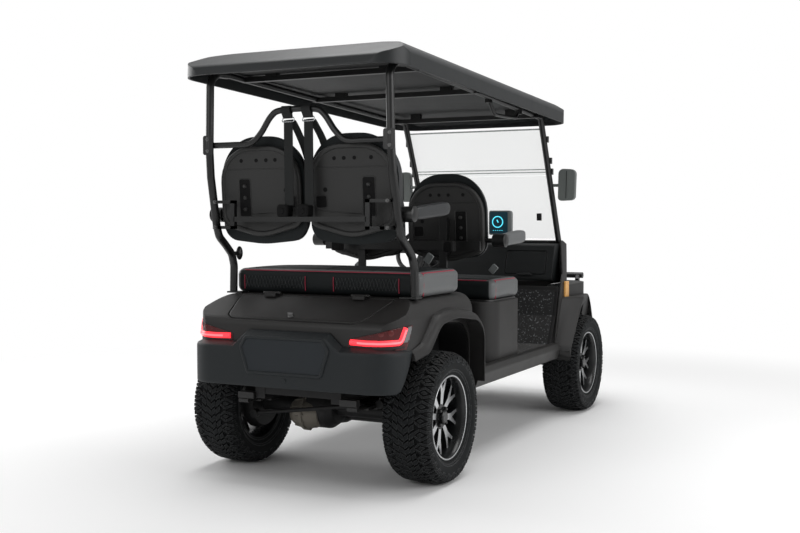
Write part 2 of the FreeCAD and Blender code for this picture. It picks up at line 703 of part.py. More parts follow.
def lid_hinge_pins():
    # Two pins on small ears of the deck, one on each side
    z = TAIL_DECK + HINGE_BARREL + 1
    parts = []
    for middle in (-LID_HINGE_Y, LID_HINGE_Y):
        parts.append(rod((LID_HINGE_X, middle - 44, z), (LID_HINGE_X, middle + 44, z), HINGE_PIN))
        for s in (-1, 1):
            near = middle + s * 30.5
            far = middle + s * 46
            ear = rod((LID_HINGE_X, near, z), (LID_HINGE_X, far, z), HINGE_BARREL)
            foot = box(LID_HINGE_X + LID_GAP + 1, LID_HINGE_X + 22, min(near, far), max(near, far),
                       TAIL_DECK - 2, z)
            bridge = box(LID_HINGE_X, LID_HINGE_X + LID_GAP + 2, min(near, far), max(near, far),
                         z - HINGE_BARREL, z)
            parts += [ear, foot, bridge]
    return parts


def rear_lid():
    plate = tail_solid(0).cut(tail_solid(LID_PLATE)).common(lid_region(0))
    z = TAIL_DECK + HINGE_BARREL + 1
    solids = [plate]
    for middle in (-LID_HINGE_Y, LID_HINGE_Y):
        solids.append(rod((LID_HINGE_X, middle - 29, z), (LID_HINGE_X, middle + 29, z), HINGE_BARREL))
        solids.append(box(LID_HINGE_X - 22, LID_HINGE_X, middle - 29, middle + 29, TAIL_DECK - 8, z))
    lid = fused(solids)
    for middle in (-LID_HINGE_Y, LID_HINGE_Y):
        lid = lid.cut(rod((LID_HINGE_X, middle - 30, z), (LID_HINGE_X, middle + 30, z),
                          HINGE_PIN + RUNNING_FIT))
    return lid


def rear_wheel_liners():
    outline = rear_arch(-1)
    inner = rear_arch(-1 - LINER_SKIN)
    band = prism_y(outline, 362, TAIL_HALF - TAIL_WALL - 1).cut(prism_y(inner, 361, TAIL_HALF))
    wall = prism_y(outline, 358, 362)
    rear = fused([band, wall])
    low = box(-2000, 0, 0, 700, 0, TAIL_FLOOR)
    rear = rear.cut(low).common(tail_solid(TAIL_WALL + SEAT_GAP))
    return both(rear)


def flare(corners, outer_corners, floor_z, y_in):
    band = prism_y(outer_corners, y_in, FLARE_OUT).cut(prism_y(corners, y_in - 1, FLARE_OUT + 1))
    return band.cut(box(-2000, 2000, 0, 700, 0, floor_z))


def rear_flares():
    solid = flare(rear_arch(0), rear_arch(FLARE_BAND), 404, TAIL_HALF)
    solid = solid.cut(box(-2000, REAR_AXLE_X - 250, 0, 700, 0, 560))
    return both(solid.cut(bumper_solid(0)))


def front_flares():
    solid = flare(front_arch(0), front_arch(FLARE_BAND), 400, COWL_HALF)
    return both(solid)


def tail_lamps():
    lamp = tail_solid(-2).cut(tail_solid(TAIL_WALL + 22)).common(lamp_region(0))
    return both(lamp.cut(rear_flares()))


def bumper_solid(inset):
    end = BUMPER_END_X + inset
    plan = [
        (-1318, -TAIL_HALF - 6 + inset), (-1318, TAIL_HALF + 6 - inset),
        (end + 112, TAIL_HALF + 6 - inset, 90 - inset), (end, 330, 160 - inset),
        (end, -330, 160 - inset), (end + 112, -TAIL_HALF - 6 + inset, 90 - inset)]
    rear = prism_z(plan, BUMPER_BOTTOM - 1, 700)
    face = prism_x([
        (-TAIL_HALF - 20 + inset, BUMPER_BOTTOM), (TAIL_HALF + 20 - inset, BUMPER_BOTTOM),
        (TAIL_HALF + 20 - inset, BUMPER_TOP - inset), (246 - inset, BUMPER_TOP - inset, 16),
        (200 - inset, 661 - inset, 16), (-200 + inset, 661 - inset, 16),
        (-246 + inset, BUMPER_TOP - inset, 16), (-TAIL_HALF - 20 + inset, BUMPER_TOP - inset)],
        end, -1318)
    side = prism_y([
        (end, BUMPER_BOTTOM), (end, 700), (-1318, 700), (-1318, 560), (-1392, BUMPER_BOTTOM + 6, 12),
        (-1400, BUMPER_BOTTOM)], -600, 600)
    return rear.common(face).common(side)


def rear_bumper():
    solid = bumper_solid(0).cut(bumper_solid(BUMPER_WALL))
    solid = solid.cut(tail_solid(0))
    half = PLATE_WIDTH / 2
    corners = [
        (-half, PLATE_BOTTOM, 12), (half, PLATE_BOTTOM, 12),
        (half, PLATE_BOTTOM + PLATE_HEIGHT, 12), (-half, PLATE_BOTTOM + PLATE_HEIGHT, 12)]
    pocket = prism_x(corners, BUMPER_END_X - 1, BUMPER_END_X + PLATE_DEPTH)
    edge = half + PLATE_RIM
    back = box(BUMPER_END_X + 1, BUMPER_END_X + PLATE_DEPTH + PLATE_RIM, -edge, edge,
               PLATE_BOTTOM - PLATE_RIM, PLATE_BOTTOM + PLATE_HEIGHT + PLATE_RIM)
    return fused([solid, back]).cut(pocket)


# Front cowl: the bonnet and fender sides ahead of the footwell
def cowl_solid(inset):
    low = TAIL_FLOOR - inset
    side = [
        (COWL_REAR - inset, low), (TOE_MID[0] - inset, TOE_MID[1], 80), (TOE_TOP[0] - inset, TOE_TOP[1], 200),
        (COWL_PEAK[0] - 20 - inset, COWL_PEAK[1] - inset), (COWL_PEAK[0] + 10, COWL_PEAK[1] - inset, 14),
        (1190 - inset, 928 - inset, 500), (COWL_NOSE[0] - inset, COWL_NOSE[1] - inset, 110),
        (COWL_NOSE[0] + 12 - inset, 520, 60), (COWL_NOSE[0] - 20 - inset, low)]
    half = COWL_HALF - inset
    plan = [
        (560, -half), (560, half), (1210 - inset, half, 260), (COWL_NOSE[0] + 30 - inset, 330 - inset, 150),
        (COWL_NOSE[0] + 30 - inset, -330 + inset, 150), (1210 - inset, -half, 260)]
    section = [
        (-half, low - 1), (half, low - 1), (half, 790, 160), (half - 62, 1060 - inset, 40),
        (-half + 62, 1060 - inset, 40), (-half, 790, 160)]
    solid = prism_y(side, -half, half)
    solid = solid.common(prism_z(plan, low, 1100))
    return solid.common(prism_x(section, 560, 1500))


def head_lamp_region(grow):
    return prism_x([
        (216 - grow, 668 - grow, 24), (216 - grow, 742 + grow, 24), (392 + grow, 772 + grow, 30),
        (400 + grow, 690 - grow, 40)], 1180, 1500)


def front_cowl():
    shell = cowl_solid(0).cut(cowl_solid(COWL_WALL))
    arch = prism_y(front_arch(0), 236, 700)
    shell = shell.cut(arch).cut(mirrored(arch))
    lamp = head_lamp_region(SEAT_GAP)
    shell = shell.cut(lamp).cut(mirrored(lamp))
    back = prism_y([
        (560, TAIL_FLOOR - 20), (COWL_REAR + 12, TAIL_FLOOR - 20), (TOE_MID[0] + 8, TOE_MID[1]),
        (TOE_TOP[0] + 8, TOE_TOP[1]), (TOE_TOP[0] + 40, TOE_TOP[1] + 10), (COWL_PEAK[0] - 30, COWL_PEAK[1] - 12),
        (COWL_PEAK[0] - 30, 1100), (560, 1100)], -COWL_HALF + COWL_WALL + 4, COWL_HALF - COWL_WALL - 4)
    return shell.cut(back)


def head_lamps():
    lamp = cowl_solid(-1).cut(cowl_solid(COWL_WALL + 26)).common(head_lamp_region(0))
    return both(lamp)


def side_markers():
    spot = prism_y([(772, 742, 10), (796, 742, 10), (812, 792, 10), (788, 792, 10)], 440, 560)
    lamp = cowl_solid(-7).cut(cowl_solid(0)).common(spot)
    return both(lamp)


def front_wheel_liners():
    outline = front_arch(-1)
    inner = front_arch(-1 - LINER_SKIN)
    band = prism_y(outline, 234, COWL_HALF - COWL_WALL).cut(prism_y(inner, 233, COWL_HALF))
    wall = prism_y(outline, 230, 234)
    liner = fused([band, wall]).cut(box(0, 2000, 0, 700, 0, TAIL_FLOOR))
    liner = liner.common(cowl_solid(COWL_WALL + SEAT_GAP))
    return both(liner)


# Dash with an open glove box, its door and the display
def dash_outline(inset):
    return [
        (724 + inset, 798 + inset, 20), (752 + inset, 905, 60), (790 + inset, DASH_TOP - 10 - inset, 26),
        (866 - inset, DASH_TOP - 8 - inset, 12), (872 - inset, 900), (866 - inset, 798 + inset)]


def glove_region(grow):
    return [(-400 - grow, 842 - grow, 14), (-150 + grow, 842 - grow, 14),
            (-150 + grow, 974 + grow, 14), (-400 - grow, 974 + grow, 14)]


def dash():
    solid = prism_y(dash_outline(0), -446, 446)
    mouth = prism_x(glove_region(LID_GAP), 700, 820)
    room = prism_y(dash_outline(10), -420, 420)
    solid = solid.cut(room.common(prism_x(glove_region(-4), 700, 900)))
    solid = solid.cut(mouth.common(prism_y(dash_outline(-5), -500, 500).cut(prism_y(dash_outline(12), -500, 500))))
    solid = solid.cut(column_hole(SEAT_GAP))
    x, y, z = GLOVE_HINGE
    pin = rod((x, y - 44, z), (x, y + 44, z), HINGE_PIN)
    ears = []
    for s in (-1, 1):
        low = min(y + s * 30.5, y + s * 46)
        ears.append(rod((x, low, z), (x, low + 15.5, z), HINGE_BARREL))
        ears.append(box(x, 746, low, low + 15.5, z - HINGE_BARREL, z))
    flange = box(862, COWL_PEAK[0] - 12, -380, 380, DASH_TOP - 12, COWL_PEAK[1] - COWL_WALL - SEAT_GAP)
    return fused([solid, pin, flange] + ears)


def glove_door():
    skin = prism_y(dash_outline(0), -446, 446).cut(prism_y(dash_outline(7), -446, 446))
    x, y, z = GLOVE_HINGE
    barrel = rod((x, y - 29, z), (x, y + 29, z), HINGE_BARREL)
    leaf = box(x, 739, y - 29, y + 29, z, z + 12)
    door = fused([skin.common(prism_x(glove_region(0), 700, 800)), barrel, leaf])
    return door.cut(rod((x, y - 30, z), (x, y + 30, z), HINGE_PIN + RUNNING_FIT))


def display():
    stem = box(784, 806, -112, -88, DASH_TOP - 30, 1098)
    case = prism_y([(772, 1092, 8), (792, 1222, 8), (810, 1220, 6), (796, 1090, 6)], -172, -28)
    return fused([case, stem]).cut(prism_y(dash_outline(0), -446, 446))


# Steering wheel and column
def steering_axis():
    lift = math.radians(STEERING_RAKE)
    return vec(-math.cos(lift), 0, math.sin(lift))


def steering_centre():
    return vec(STEERING_HUB[0], WHEEL_Y, STEERING_HUB[1])


def steering_wheel():
    centre = steering_centre()
    axis = steering_axis()
    ring = Part.makeTorus(STEERING_WHEEL_RADIUS, STEERING_GRIP, centre, axis)
    hub_face = centre - axis * 34
    hub = Part.makeCone(44, 34, 46, hub_face, axis)
    shaft = Part.makeCylinder(SHAFT_RADIUS, 150, hub_face - axis * 148, axis)
    across = vec(0, 1, 0)
    spokes = []
    for angle in (90, 180, 270):
        arm = Part.makeBox(STEERING_WHEEL_RADIUS - 2, 26, 8, vec(0, -13, -26))
        arm = arm.fuse(Part.makeBox(40, 26, 24, vec(STEERING_WHEEL_RADIUS - 44, -13, -26)))
        turn = FreeCAD.Rotation(vec(0, 0, 1), axis)
        arm.rotate(vec(0, 0, 0), vec(0, 0, 1), angle)
        arm.Placement = FreeCAD.Placement(centre, turn).multiply(arm.Placement)
        spokes.append(arm)
    return fused([ring, hub, shaft] + spokes)


def steering_column():
    centre = steering_centre()
    axis = steering_axis()
    top = centre - axis * 52
    tube_solid = Part.makeCylinder(COLUMN_RADIUS, COLUMN_LENGTH, top - axis * COLUMN_LENGTH, axis)
    bore = Part.makeCylinder(SHAFT_RADIUS + RUNNING_FIT, 140, top - axis * 139, axis)
    return tube_solid.cut(bore)


def pedals():
    # Two pads on arms that come through the toe board
    parts = []
    pan = floor_pan()
    for y, wide in PEDALS:
        pad = prism_y([(560, 566), (602, 650), (594, 654), (552, 570)], y - wide / 2, y + wide / 2)
        arm = prism_y([(570, 598), (578, 594), (660, 600), (660, 612)], y - 9, y + 9)
        parts.append(fused([pad, arm]).cut(pan))
    return Part.makeCompound([p.Solids[0] for p in parts])


# Front guard: a capped top tube on two legs, braced back to the cowl sides
def front_guard():
    leg_y = GUARD_HALF - 36
    foot_z = GUARD_BOTTOM - 22
    top = rod((GUARD_X, -GUARD_HALF, GUARD_TOP), (GUARD_X, GUARD_HALF, GUARD_TOP), GUARD_RADIUS)
    foot = rod((GUARD_X, -leg_y - 20, foot_z), (GUARD_X, leg_y + 20, foot_z), 16)
    middle = rod((GUARD_X, -leg_y, 620), (GUARD_X, leg_y, 620), 13)
    solids = [top, foot, middle]
    for s in (-1, 1):
        solids.append(rod((GUARD_X, s * leg_y, foot_z), (GUARD_X, s * leg_y, GUARD_TOP), 15))
        solids.append(rod((GUARD_X, s * leg_y, GUARD_TOP - 6), (1236, s * 444, 764), 14))
        y = s * RAIL_Y
        solids.append(box(RAIL_FRONT, GUARD_X, y - 20, y + 20, foot_z - 14, foot_z + 14))
    return fused(solids).cut(cowl_solid(0))


# Roof: a crowned shell pitched down to the front, its liner and the tubes under it
def pitched(shape):
    return turned(shape, vec(ROOF_REAR, 0, ROOF_SKIRT), vec(0, 1, 0), ROOF_PITCH)


def roof_solid(inset, low):
    base = ROOF_SKIRT + low
    half = ROOF_HALF - inset
    rear = ROOF_REAR + inset
    front = ROOF_FRONT - inset
    corner = ROOF_CORNER - inset
    top = ROOF_SKIRT + ROOF_CROWN - inset
    plan = [(rear, -half, corner), (front, -half, corner), (front, half, corner), (rear, half, corner)]
    wide = half + ROOF_EASE
    low_edge = base - ROOF_EASE
    section = [
        (-wide, low_edge), (wide, low_edge), (wide, ROOF_SKIRT + 70 - inset, 50),
        (wide - 60, ROOF_SKIRT + ROOF_SIDE + 14 - inset, 80), (0, top + 12, 1800),
        (-wide + 60, ROOF_SKIRT + ROOF_SIDE + 14 - inset, 80), (-wide, ROOF_SKIRT + 70 - inset, 50)]
    nose = front + ROOF_EASE
    tail = rear - ROOF_EASE
    length = [
        (tail, low_edge), (nose, low_edge), (nose, ROOF_SKIRT + 46 - inset, 30),
        (nose - 150, ROOF_SKIRT + 118 - inset, 200), (-400, top + 6, 3000),
        (tail + 210, ROOF_SKIRT + 132 - inset, 300), (tail + 10, ROOF_SKIRT + 42 - inset, 26)]
    solid = prism_z(plan, base, top + 40)
    solid = solid.common(prism_x(section, tail - 5, nose + 5))
    return solid.common(prism_y(length, -wide - 5, wide + 5))


def roof_canopy():
    return pitched(roof_solid(0, 0).cut(roof_solid(ROOF_SKIN, -1)))


def roof_liner():
    low = ROOF_SKIRT + LINER_HEIGHT
    plate = box(ROOF_REAR, ROOF_FRONT, -ROOF_HALF, ROOF_HALF, low, low + LINER_PLATE)
    return pitched(plate.common(roof_solid(ROOF_SKIN + 0.5, 0)))


def above_liner():
    low = ROOF_SKIRT + LINER_HEIGHT - SEAT_GAP
    return pitched(box(ROOF_REAR, ROOF_FRONT, -ROOF_HALF, ROOF_HALF, low, low + 200))


STRUT_LINE = (
    (-1195, 826), (-1195, 950), (-1214, 1004), (-1262, 1046), (-1316, 1088), (-1336, 1140),
    (-1362, 1260), (-1384, 1360), (-1395, 1470), (-1395, 1790), (-1340, 1828), (-1262, 1832))


def strut_spots():
    foot = STRUT_LINE[0][1]
    top = 1750
    spots = []
    for x, z in STRUT_LINE:
        share = min(1, (z - foot) / (top - foot))
        spots.append((x, STRUT_FOOT_Y + (STRUT_TOP_Y - STRUT_FOOT_Y) * share, z))
    return spots


def rear_struts():
    flange = box(-1222, -1168, STRUT_FOOT_Y - 62, STRUT_FOOT_Y + 20, TAIL_DECK, TAIL_DECK + 7)
    strut = tube(strut_spots(), STRUT_RADIUS, 60)
    solid = fused([strut, flange]).cut(tail_solid(0))
    return both(solid)


def roof_rails():
    start = strut_spots()[-1]
    rail = rod(start, (PILLAR_TOP[0] - 10, PILLAR_Y, PILLAR_TOP[1] + 6), RAIL_TUBE_RADIUS)
    return both(rail.cut(pillar()).cut(rear_struts()))


def roof_crossbars():
    parts = []
    for x in (-1120.0, -470.0, 430.0):
        share = (x + 1262) / (PILLAR_TOP[0] + 1262)
        z = 1832 + (PILLAR_TOP[1] - 1832) * share
        bar = box(x - 17, x + 17, -470, 470, z - 12, z + 12)
        blocks = [box(x - 17, x + 17, s * 300 - 30, s * 300 + 30, z - 12, z + 80) for s in (-1, 1)]
        parts.append(fused([bar] + blocks).cut(above_liner()))
    rails = roof_rails()
    return Part.makeCompound([p.cut(rails) for p in parts])


def pillar():
    foot = vec(PILLAR_FOOT[0], PILLAR_Y, PILLAR_FOOT[1])
    top = vec(PILLAR_TOP[0], PILLAR_Y, PILLAR_TOP[1])
    along = (top - foot).normalize()
    return rod(tuple(foot - along * 60), tuple(top + along * 22), PILLAR_RADIUS)


def front_pillars():
    solid = pillar().cut(cowl_solid(0)).cut(prism_y(dash_outline(0), -446, 446))
    return both(solid)


# Windscreen: two clear sheets that meet at the fold line ahead of the pillars
def screen_sheet(low_z, high_z, half, corner):
    slope = (PILLAR_FOOT[0] - PILLAR_TOP[0]) / (PILLAR_FOOT[1] - PILLAR_TOP[1])
    rake = math.degrees(math.atan(-slope))
    base_x = PILLAR_FOOT[0] + slope * (low_z - PILLAR_FOOT[1]) + PILLAR_RADIUS / math.cos(math.radians(rake))
    base_x += SEAT_GAP
    tall = (high_z - low_z) / math.cos(math.radians(rake))
    sheet = prism_x([
        (-half, low_z, corner), (half, low_z, corner), (half, low_z + tall, corner),
        (-half, low_z + tall, corner)], base_x, base_x + SCREEN_GLASS)
    return turned(sheet, vec(base_x, 0, low_z), vec(0, 1, 0), -rake)


def windscreen_lower():
    return screen_sheet(SCREEN_FOOT_Z, SCREEN_FOLD_Z - 2, SCREEN_HALF, 24)


def windscreen_upper():
    return screen_sheet(SCREEN_FOLD_Z + 2, SCREEN_TOP_Z, SCREEN_HALF, 24)


# Seats: cushions, backrests with their shells, frames and armrests
def cushion(x_range, base, thick):
    solid = prism_z([
        (x_range[0], -CUSHION_HALF, CUSHION_CORNER), (x_range[1], -CUSHION_HALF, CUSHION_CORNER),
        (x_range[1], CUSHION_HALF, CUSHION_CORNER), (x_range[0], CUSHION_HALF, CUSHION_CORNER)],
        base, base + thick)
    top = base + thick
    edges = [e for e in solid.Edges if e.BoundBox.ZMin > top - 1]
    return solid.makeFillet(30, edges)


def rear_cushion():
    return cushion(REAR_CUSHION_X, TAIL_DECK + SEAT_GAP, CUSHION_THICK + 8)


def front_cushion():
    return cushion(FRONT_CUSHION_X, POD_TOP + SEAT_PLATE, CUSHION_THICK)


def front_seat_plate():
    x0, x1 = FRONT_CUSHION_X
    plate = prism_z([
        (x0 + 6, -CUSHION_HALF + 6, CUSHION_CORNER), (x1 - 6, -CUSHION_HALF + 6, CUSHION_CORNER),
        (x1 - 6, CUSHION_HALF - 6, CUSHION_CORNER), (x0 + 6, CUSHION_HALF - 6, CUSHION_CORNER)],
        POD_TOP + SEAT_GAP, POD_TOP + SEAT_PLATE)
    x = POD_FRONT + HINGE_BARREL + 1.5
    z = POD_TOP - HINGE_BARREL
    solids = [plate]
    for middle in (-SEAT_HINGE_Y, SEAT_HINGE_Y):
        solids.append(rod((x, middle - 29, z), (x, middle + 29, z), HINGE_BARREL))
        solids.append(box(x, x + HINGE_BARREL, middle - 29, middle + 29, z, POD_TOP + SEAT_PLATE))
    solid = fused(solids)
    for middle in (-SEAT_HINGE_Y, SEAT_HINGE_Y):
        solid = solid.cut(rod((x, middle - 30, z), (x, middle + 30, z), HINGE_PIN + RUNNING_FIT))
    return solid


def back_outline(inset, low):
    y0 = BACK_GAP + inset
    y1 = BACK_GAP + BACK_WIDTH - inset
    z1 = low + BACK_HEIGHT - inset
    foot = BACK_FOOT_CORNER - inset
    crown = BACK_CROWN - inset
    return [(y0, low + inset, foot), (y1, low + inset, foot), (y1, z1, crown), (y0, z1, crown)]


def raked(shape, spot, angle):
    return turned(shape, vec(spot[0], 0, spot[1]), vec(0, 1, 0), -angle)


def back_shell(spot):
    x, low = spot
    shell = prism_x(back_outline(0, low), x, x + SHELL_DEPTH)
    panel = prism_x(back_outline(52, low), x - 1, x + 7)
    shell = shell.cut(panel)
    middle = BACK_GAP + BACK_WIDTH / 2
    holes = [rod((x, middle + dy, low + BACK_HEIGHT - 100), (x + SHELL_DEPTH + 1, middle + dy, low + BACK_HEIGHT - 100), 7)
             for dy in (-75, -25, 25, 75)]
    for hole in holes:
        shell = shell.cut(hole)
    return raked(shell, spot, 4)


def back_pad(spot):
    x, low = spot
    start = x + SHELL_DEPTH + SEAT_GAP
    pad = prism_x(back_outline(6, low), start, start + PAD_DEPTH)
    edges = [e for e in pad.Edges if e.BoundBox.XMin > start + PAD_DEPTH - 1]
    pad = pad.makeFillet(24, edges)
    return raked(pad, spot, 4)


def rear_seat_frame():
    struts = rear_struts()
    low = rod((-1195, -470, 921), (-1195, 470, 921), 14).cut(struts)
    high = rod((-1334, -466, 1143), (-1334, 466, 1143), 15).cut(struts)
    return Part.makeCompound([low, high])


def rear_seat_posts():
    # A flat post behind each backrest, held by the two cross tubes
    x, low = REAR_BACK
    middle = BACK_GAP + BACK_WIDTH / 2
    post = prism_y([
        (x + 84, 836), (x + 96, 836), (x + 96, 930, 20), (x + 10, 1084, 30), (x - 14, 1420), (x - 48, 1420),
        (x - 24, 1078, 30), (x + 84, 926, 20)], middle - 22, middle + 22)
    post = post.cut(back_shell(REAR_BACK)).cut(rear_seat_frame())
    return both(post.Solids[0])


def front_seat_frame():
    parts = []
    x = POD_REAR - SEAT_GAP
    for s in (-1, 1):
        middle = s * (BACK_GAP + BACK_WIDTH / 2)
        parts.append(box(x - 16, x, middle - 20, middle + 20, 560, 1180))
        parts.append(box(x - 1, FRONT_BACK[0] + 8, middle - 20, middle + 20, 985, 1172))
    bar = box(x - 32, x - 16, -446, 446, 1010, 1058)
    frame = fused(parts + [bar])
    shells = back_shell(FRONT_BACK)
    return frame.cut(shells).cut(mirrored(shells))


def belt_hoop():
    x = -1372
    hoop = tube([
        (x, -448, 1500), (x, -300, 1500), (x, -205, 1560), (x, -150, 1643), (x, 150, 1643),
        (x, 205, 1560), (x, 300, 1500), (x, 448, 1500)], 14, 60)
    return hoop.cut(rear_struts())


def armrest(x, z):
    inner = ARMREST_Y - ARMREST_HALF
    pad = prism_y([
        (x, z - ARMREST_THICK / 2, 18), (x + ARMREST_LENGTH, z - ARMREST_THICK / 2 + 8, 18),
        (x + ARMREST_LENGTH, z + ARMREST_THICK / 2, 18), (x, z + ARMREST_THICK / 2, 18)],
        inner, inner + 2 * ARMREST_HALF)
    pivot = rod((x + 24, BACK_GAP + BACK_WIDTH + SEAT_GAP, z), (x + 24, inner + 2, z), 13)
    return fused([pad, pivot])


def armrests():
    parts = []
    for spot, z in ((REAR_BACK, 1200.0), (FRONT_BACK, 1066.0)):
        arm = armrest(spot[0] - 12, z)
        arm = arm.cut(back_shell(spot)).cut(back_pad(spot))
        parts += [arm, mirrored(arm)]
    return Part.makeCompound(parts)


def mirrors():
    x = 728
    housing = prism_x([(482, 1276, 22), (582, 1280, 26), (588, 1460, 30), (486, 1466, 30)], x, x + 34)
    arm = rod((x + 10, PILLAR_Y + 8, 1368), (x + 10, 486, 1368), 9)
    solid = fused([housing, arm]).cut(pillar())
    return both(solid)


def belt_retractors():
    # Rear pair on the hoop's cross tube, front pair on the seat frame's bar
    parts = []
    for y in (-RETRACTOR_Y, RETRACTOR_Y):
        parts.append(box(-1392, -1344, y - 23, y + 23, 1128, 1196))
        x = POD_REAR - SEAT_GAP - 32
        parts.append(box(x - 44, x, 0.55 * y - 23 + 300 * y / RETRACTOR_Y, 0.55 * y + 23 + 300 * y / RETRACTOR_Y,
                         1004, 1068))
    frame = rear_seat_frame()
    return Part.makeCompound([p.cut(frame) for p in parts])


def belt_straps():
    # Webbing from each rear retractor up to its ring on the hoop
    parts = []
    for y in (-RETRACTOR_Y, RETRACTOR_Y):
        parts.append(box(-1373, -1371, y - 23, y + 23, 1196, 1629))
    return Part.makeCompound(parts)


def group(*shapes):
    solids = []
    for shape in shapes:
        solids += shape.Solids
    return Part.makeCompound(solids)


def nodes():
    rear_spring, shock, shelf = rear_suspension()
    found = {
        "frame_rails": frame_rails(),
        "frame_crossmembers": group(frame_crossmembers(), shelf, mirrored(shelf)),
        "front_axle": front_axle(),
        "springs_and_dampers": group(front_suspension(), rear_spring, shock),
        "rear_axle": rear_axle(),
        "drive_motor": drive_motor().cut(rear_axle()),
        "battery_pack": battery_pack(),
        "floor_pan": floor_pan(),
        "floor_mats": floor_mats(),
        "rocker_panels": rocker_panels(),
        "front_pod": front_pod(),
        "rear_body": rear_body(),
        "wheel_liners": group(rear_wheel_liners(), front_wheel_liners()),
        "wheel_flares": group(rear_flares(), front_flares()),
        "tail_lamps": tail_lamps(),
        "rear_bumper": rear_bumper(),
        "rear_lid": rear_lid(),
        "front_cowl": front_cowl(),
        "front_lamps": group(head_lamps(), side_markers()),
        "dash": dash(),
        "glove_door": glove_door(),
        "display": display(),
        "steering_wheel": steering_wheel(),
        "steering_column": steering_column(),
        "pedals": pedals(),
        "front_guard": front_guard(),
        "roof_canopy": roof_canopy(),
        "roof_liner": roof_liner(),
        "roof_rails": roof_rails(),
        "roof_crossbars": roof_crossbars(),
        "rear_struts": rear_struts(),
        "front_pillars": front_pillars(),
        "windscreen": group(windscreen_lower(), windscreen_upper()),
        "rear_cushion": rear_cushion(),
        "front_cushion": front_cushion(),
        "front_seat_plate": front_seat_plate(),
        "back_shells": group(both(back_shell(REAR_BACK)), both(back_shell(FRONT_BACK))),
        "back_pads": group(both(back_pad(REAR_BACK)), both(back_pad(FRONT_BACK))),
        "rear_seat_tubes": group(rear_seat_frame(), belt_hoop()),
        "rear_seat_posts": rear_seat_posts(),
        "front_seat_frame": front_seat_frame(),
        "belt_retractors": belt_retractors(),
        "belt_straps": belt_straps(),
        "armrests": armrests(),
        "mirrors": mirrors(),
        "knuckle_left": knuckle(1),
        "knuckle_right": knuckle(-1),
        "tie_rod": tie_rod(),
    }
    for x, place in ((FRONT_AXLE_X, "front"), (REAR_AXLE_X, "rear")):
        for side, hand in ((1, "left"), (-1, "right")):
            found["tyre_%s_%s" % (place, hand)] = tyre(x, side)
            found["rim_%s_%s" % (place, hand)] = rim(x, side)
    return found


os.makedirs("parts", exist_ok=True)
for name, shape in nodes().items():
    if not shape.isValid():
        print("not valid:", name)
    shape.exportStep("parts/%s.step" % name)
    print(name, len(shape.Solids), round(shape.Volume / 1e6, 3))
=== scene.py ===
# %% [markdown]
# A lifted four-seat golf cart, dressed for a studio picture. The frame brings every rigid piece at
# its real size, so this lesson adds what a frame lacks: finishes, tread, seams, straps and lamps.
# The cart stands along X with its nose at +X, its left side at +Y, and one unit is a metre.

# %% Load the frame
import json
import math

import bmesh
import bpy
from mathutils import Matrix, Vector
from mathutils.bvhtree import BVHTree


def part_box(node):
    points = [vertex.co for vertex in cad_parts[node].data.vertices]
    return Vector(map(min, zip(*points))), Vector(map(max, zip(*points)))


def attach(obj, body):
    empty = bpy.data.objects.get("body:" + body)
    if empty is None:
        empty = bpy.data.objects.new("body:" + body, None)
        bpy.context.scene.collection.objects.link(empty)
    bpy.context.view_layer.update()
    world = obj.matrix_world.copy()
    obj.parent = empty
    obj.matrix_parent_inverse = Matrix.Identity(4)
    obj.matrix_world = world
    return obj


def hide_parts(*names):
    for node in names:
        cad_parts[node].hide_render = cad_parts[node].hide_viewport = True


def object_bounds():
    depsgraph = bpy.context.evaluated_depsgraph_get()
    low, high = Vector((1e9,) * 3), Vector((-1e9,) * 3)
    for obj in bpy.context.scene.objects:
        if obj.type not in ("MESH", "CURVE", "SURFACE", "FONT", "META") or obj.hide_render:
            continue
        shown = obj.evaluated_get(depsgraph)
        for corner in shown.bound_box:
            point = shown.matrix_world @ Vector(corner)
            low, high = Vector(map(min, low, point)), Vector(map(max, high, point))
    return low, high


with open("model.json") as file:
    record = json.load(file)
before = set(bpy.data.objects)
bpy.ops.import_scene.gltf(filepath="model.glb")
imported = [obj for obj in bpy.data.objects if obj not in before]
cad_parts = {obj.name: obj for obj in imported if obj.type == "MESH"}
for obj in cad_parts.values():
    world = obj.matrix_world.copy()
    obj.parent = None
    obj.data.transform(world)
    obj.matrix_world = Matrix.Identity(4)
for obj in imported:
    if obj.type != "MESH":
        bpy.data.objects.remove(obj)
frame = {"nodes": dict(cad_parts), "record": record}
nodes = frame["nodes"]
cad_low, cad_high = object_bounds()
print("nodes", len(nodes), "box", [round(v, 3) for v in (cad_high - cad_low)])

# %% [markdown]
# The picture was taken from behind and to the right, a little above the seats. The camera keeps
# that place and a normal lens. Everything else in the studio is plain: a white sweep and soft lamps.

# %% Camera
CAMERA_PLACE = Vector((-5.428, -2.516, 1.164))
CAMERA_YAW = math.radians(26.53)
CAMERA_PITCH = math.radians(-2.455)
CAMERA_LENS = 48.88

camera_data = bpy.data.cameras.new("studio_camera")
camera_data.lens = CAMERA_LENS
camera_data.sensor_width = 36.0
camera = bpy.data.objects.new("studio_camera", camera_data)
bpy.context.scene.collection.objects.link(camera)
look = Vector((
    math.cos(CAMERA_YAW) * math.cos(CAMERA_PITCH),
    math.sin(CAMERA_YAW) * math.cos(CAMERA_PITCH),
    math.sin(CAMERA_PITCH)))
camera.location = CAMERA_PLACE
camera.rotation_mode = "QUATERNION"
camera.rotation_quaternion = look.to_track_quat("-Z", "Y")
bpy.context.scene.camera = camera
bpy.context.scene.view_settings.view_transform = "Standard"

# %% [markdown]
# A dark product needs broad, soft light, because a dark skin shows mostly what it reflects. One
# big lamp hangs above, one stands on each side, and a faint one behind the camera opens the rear.

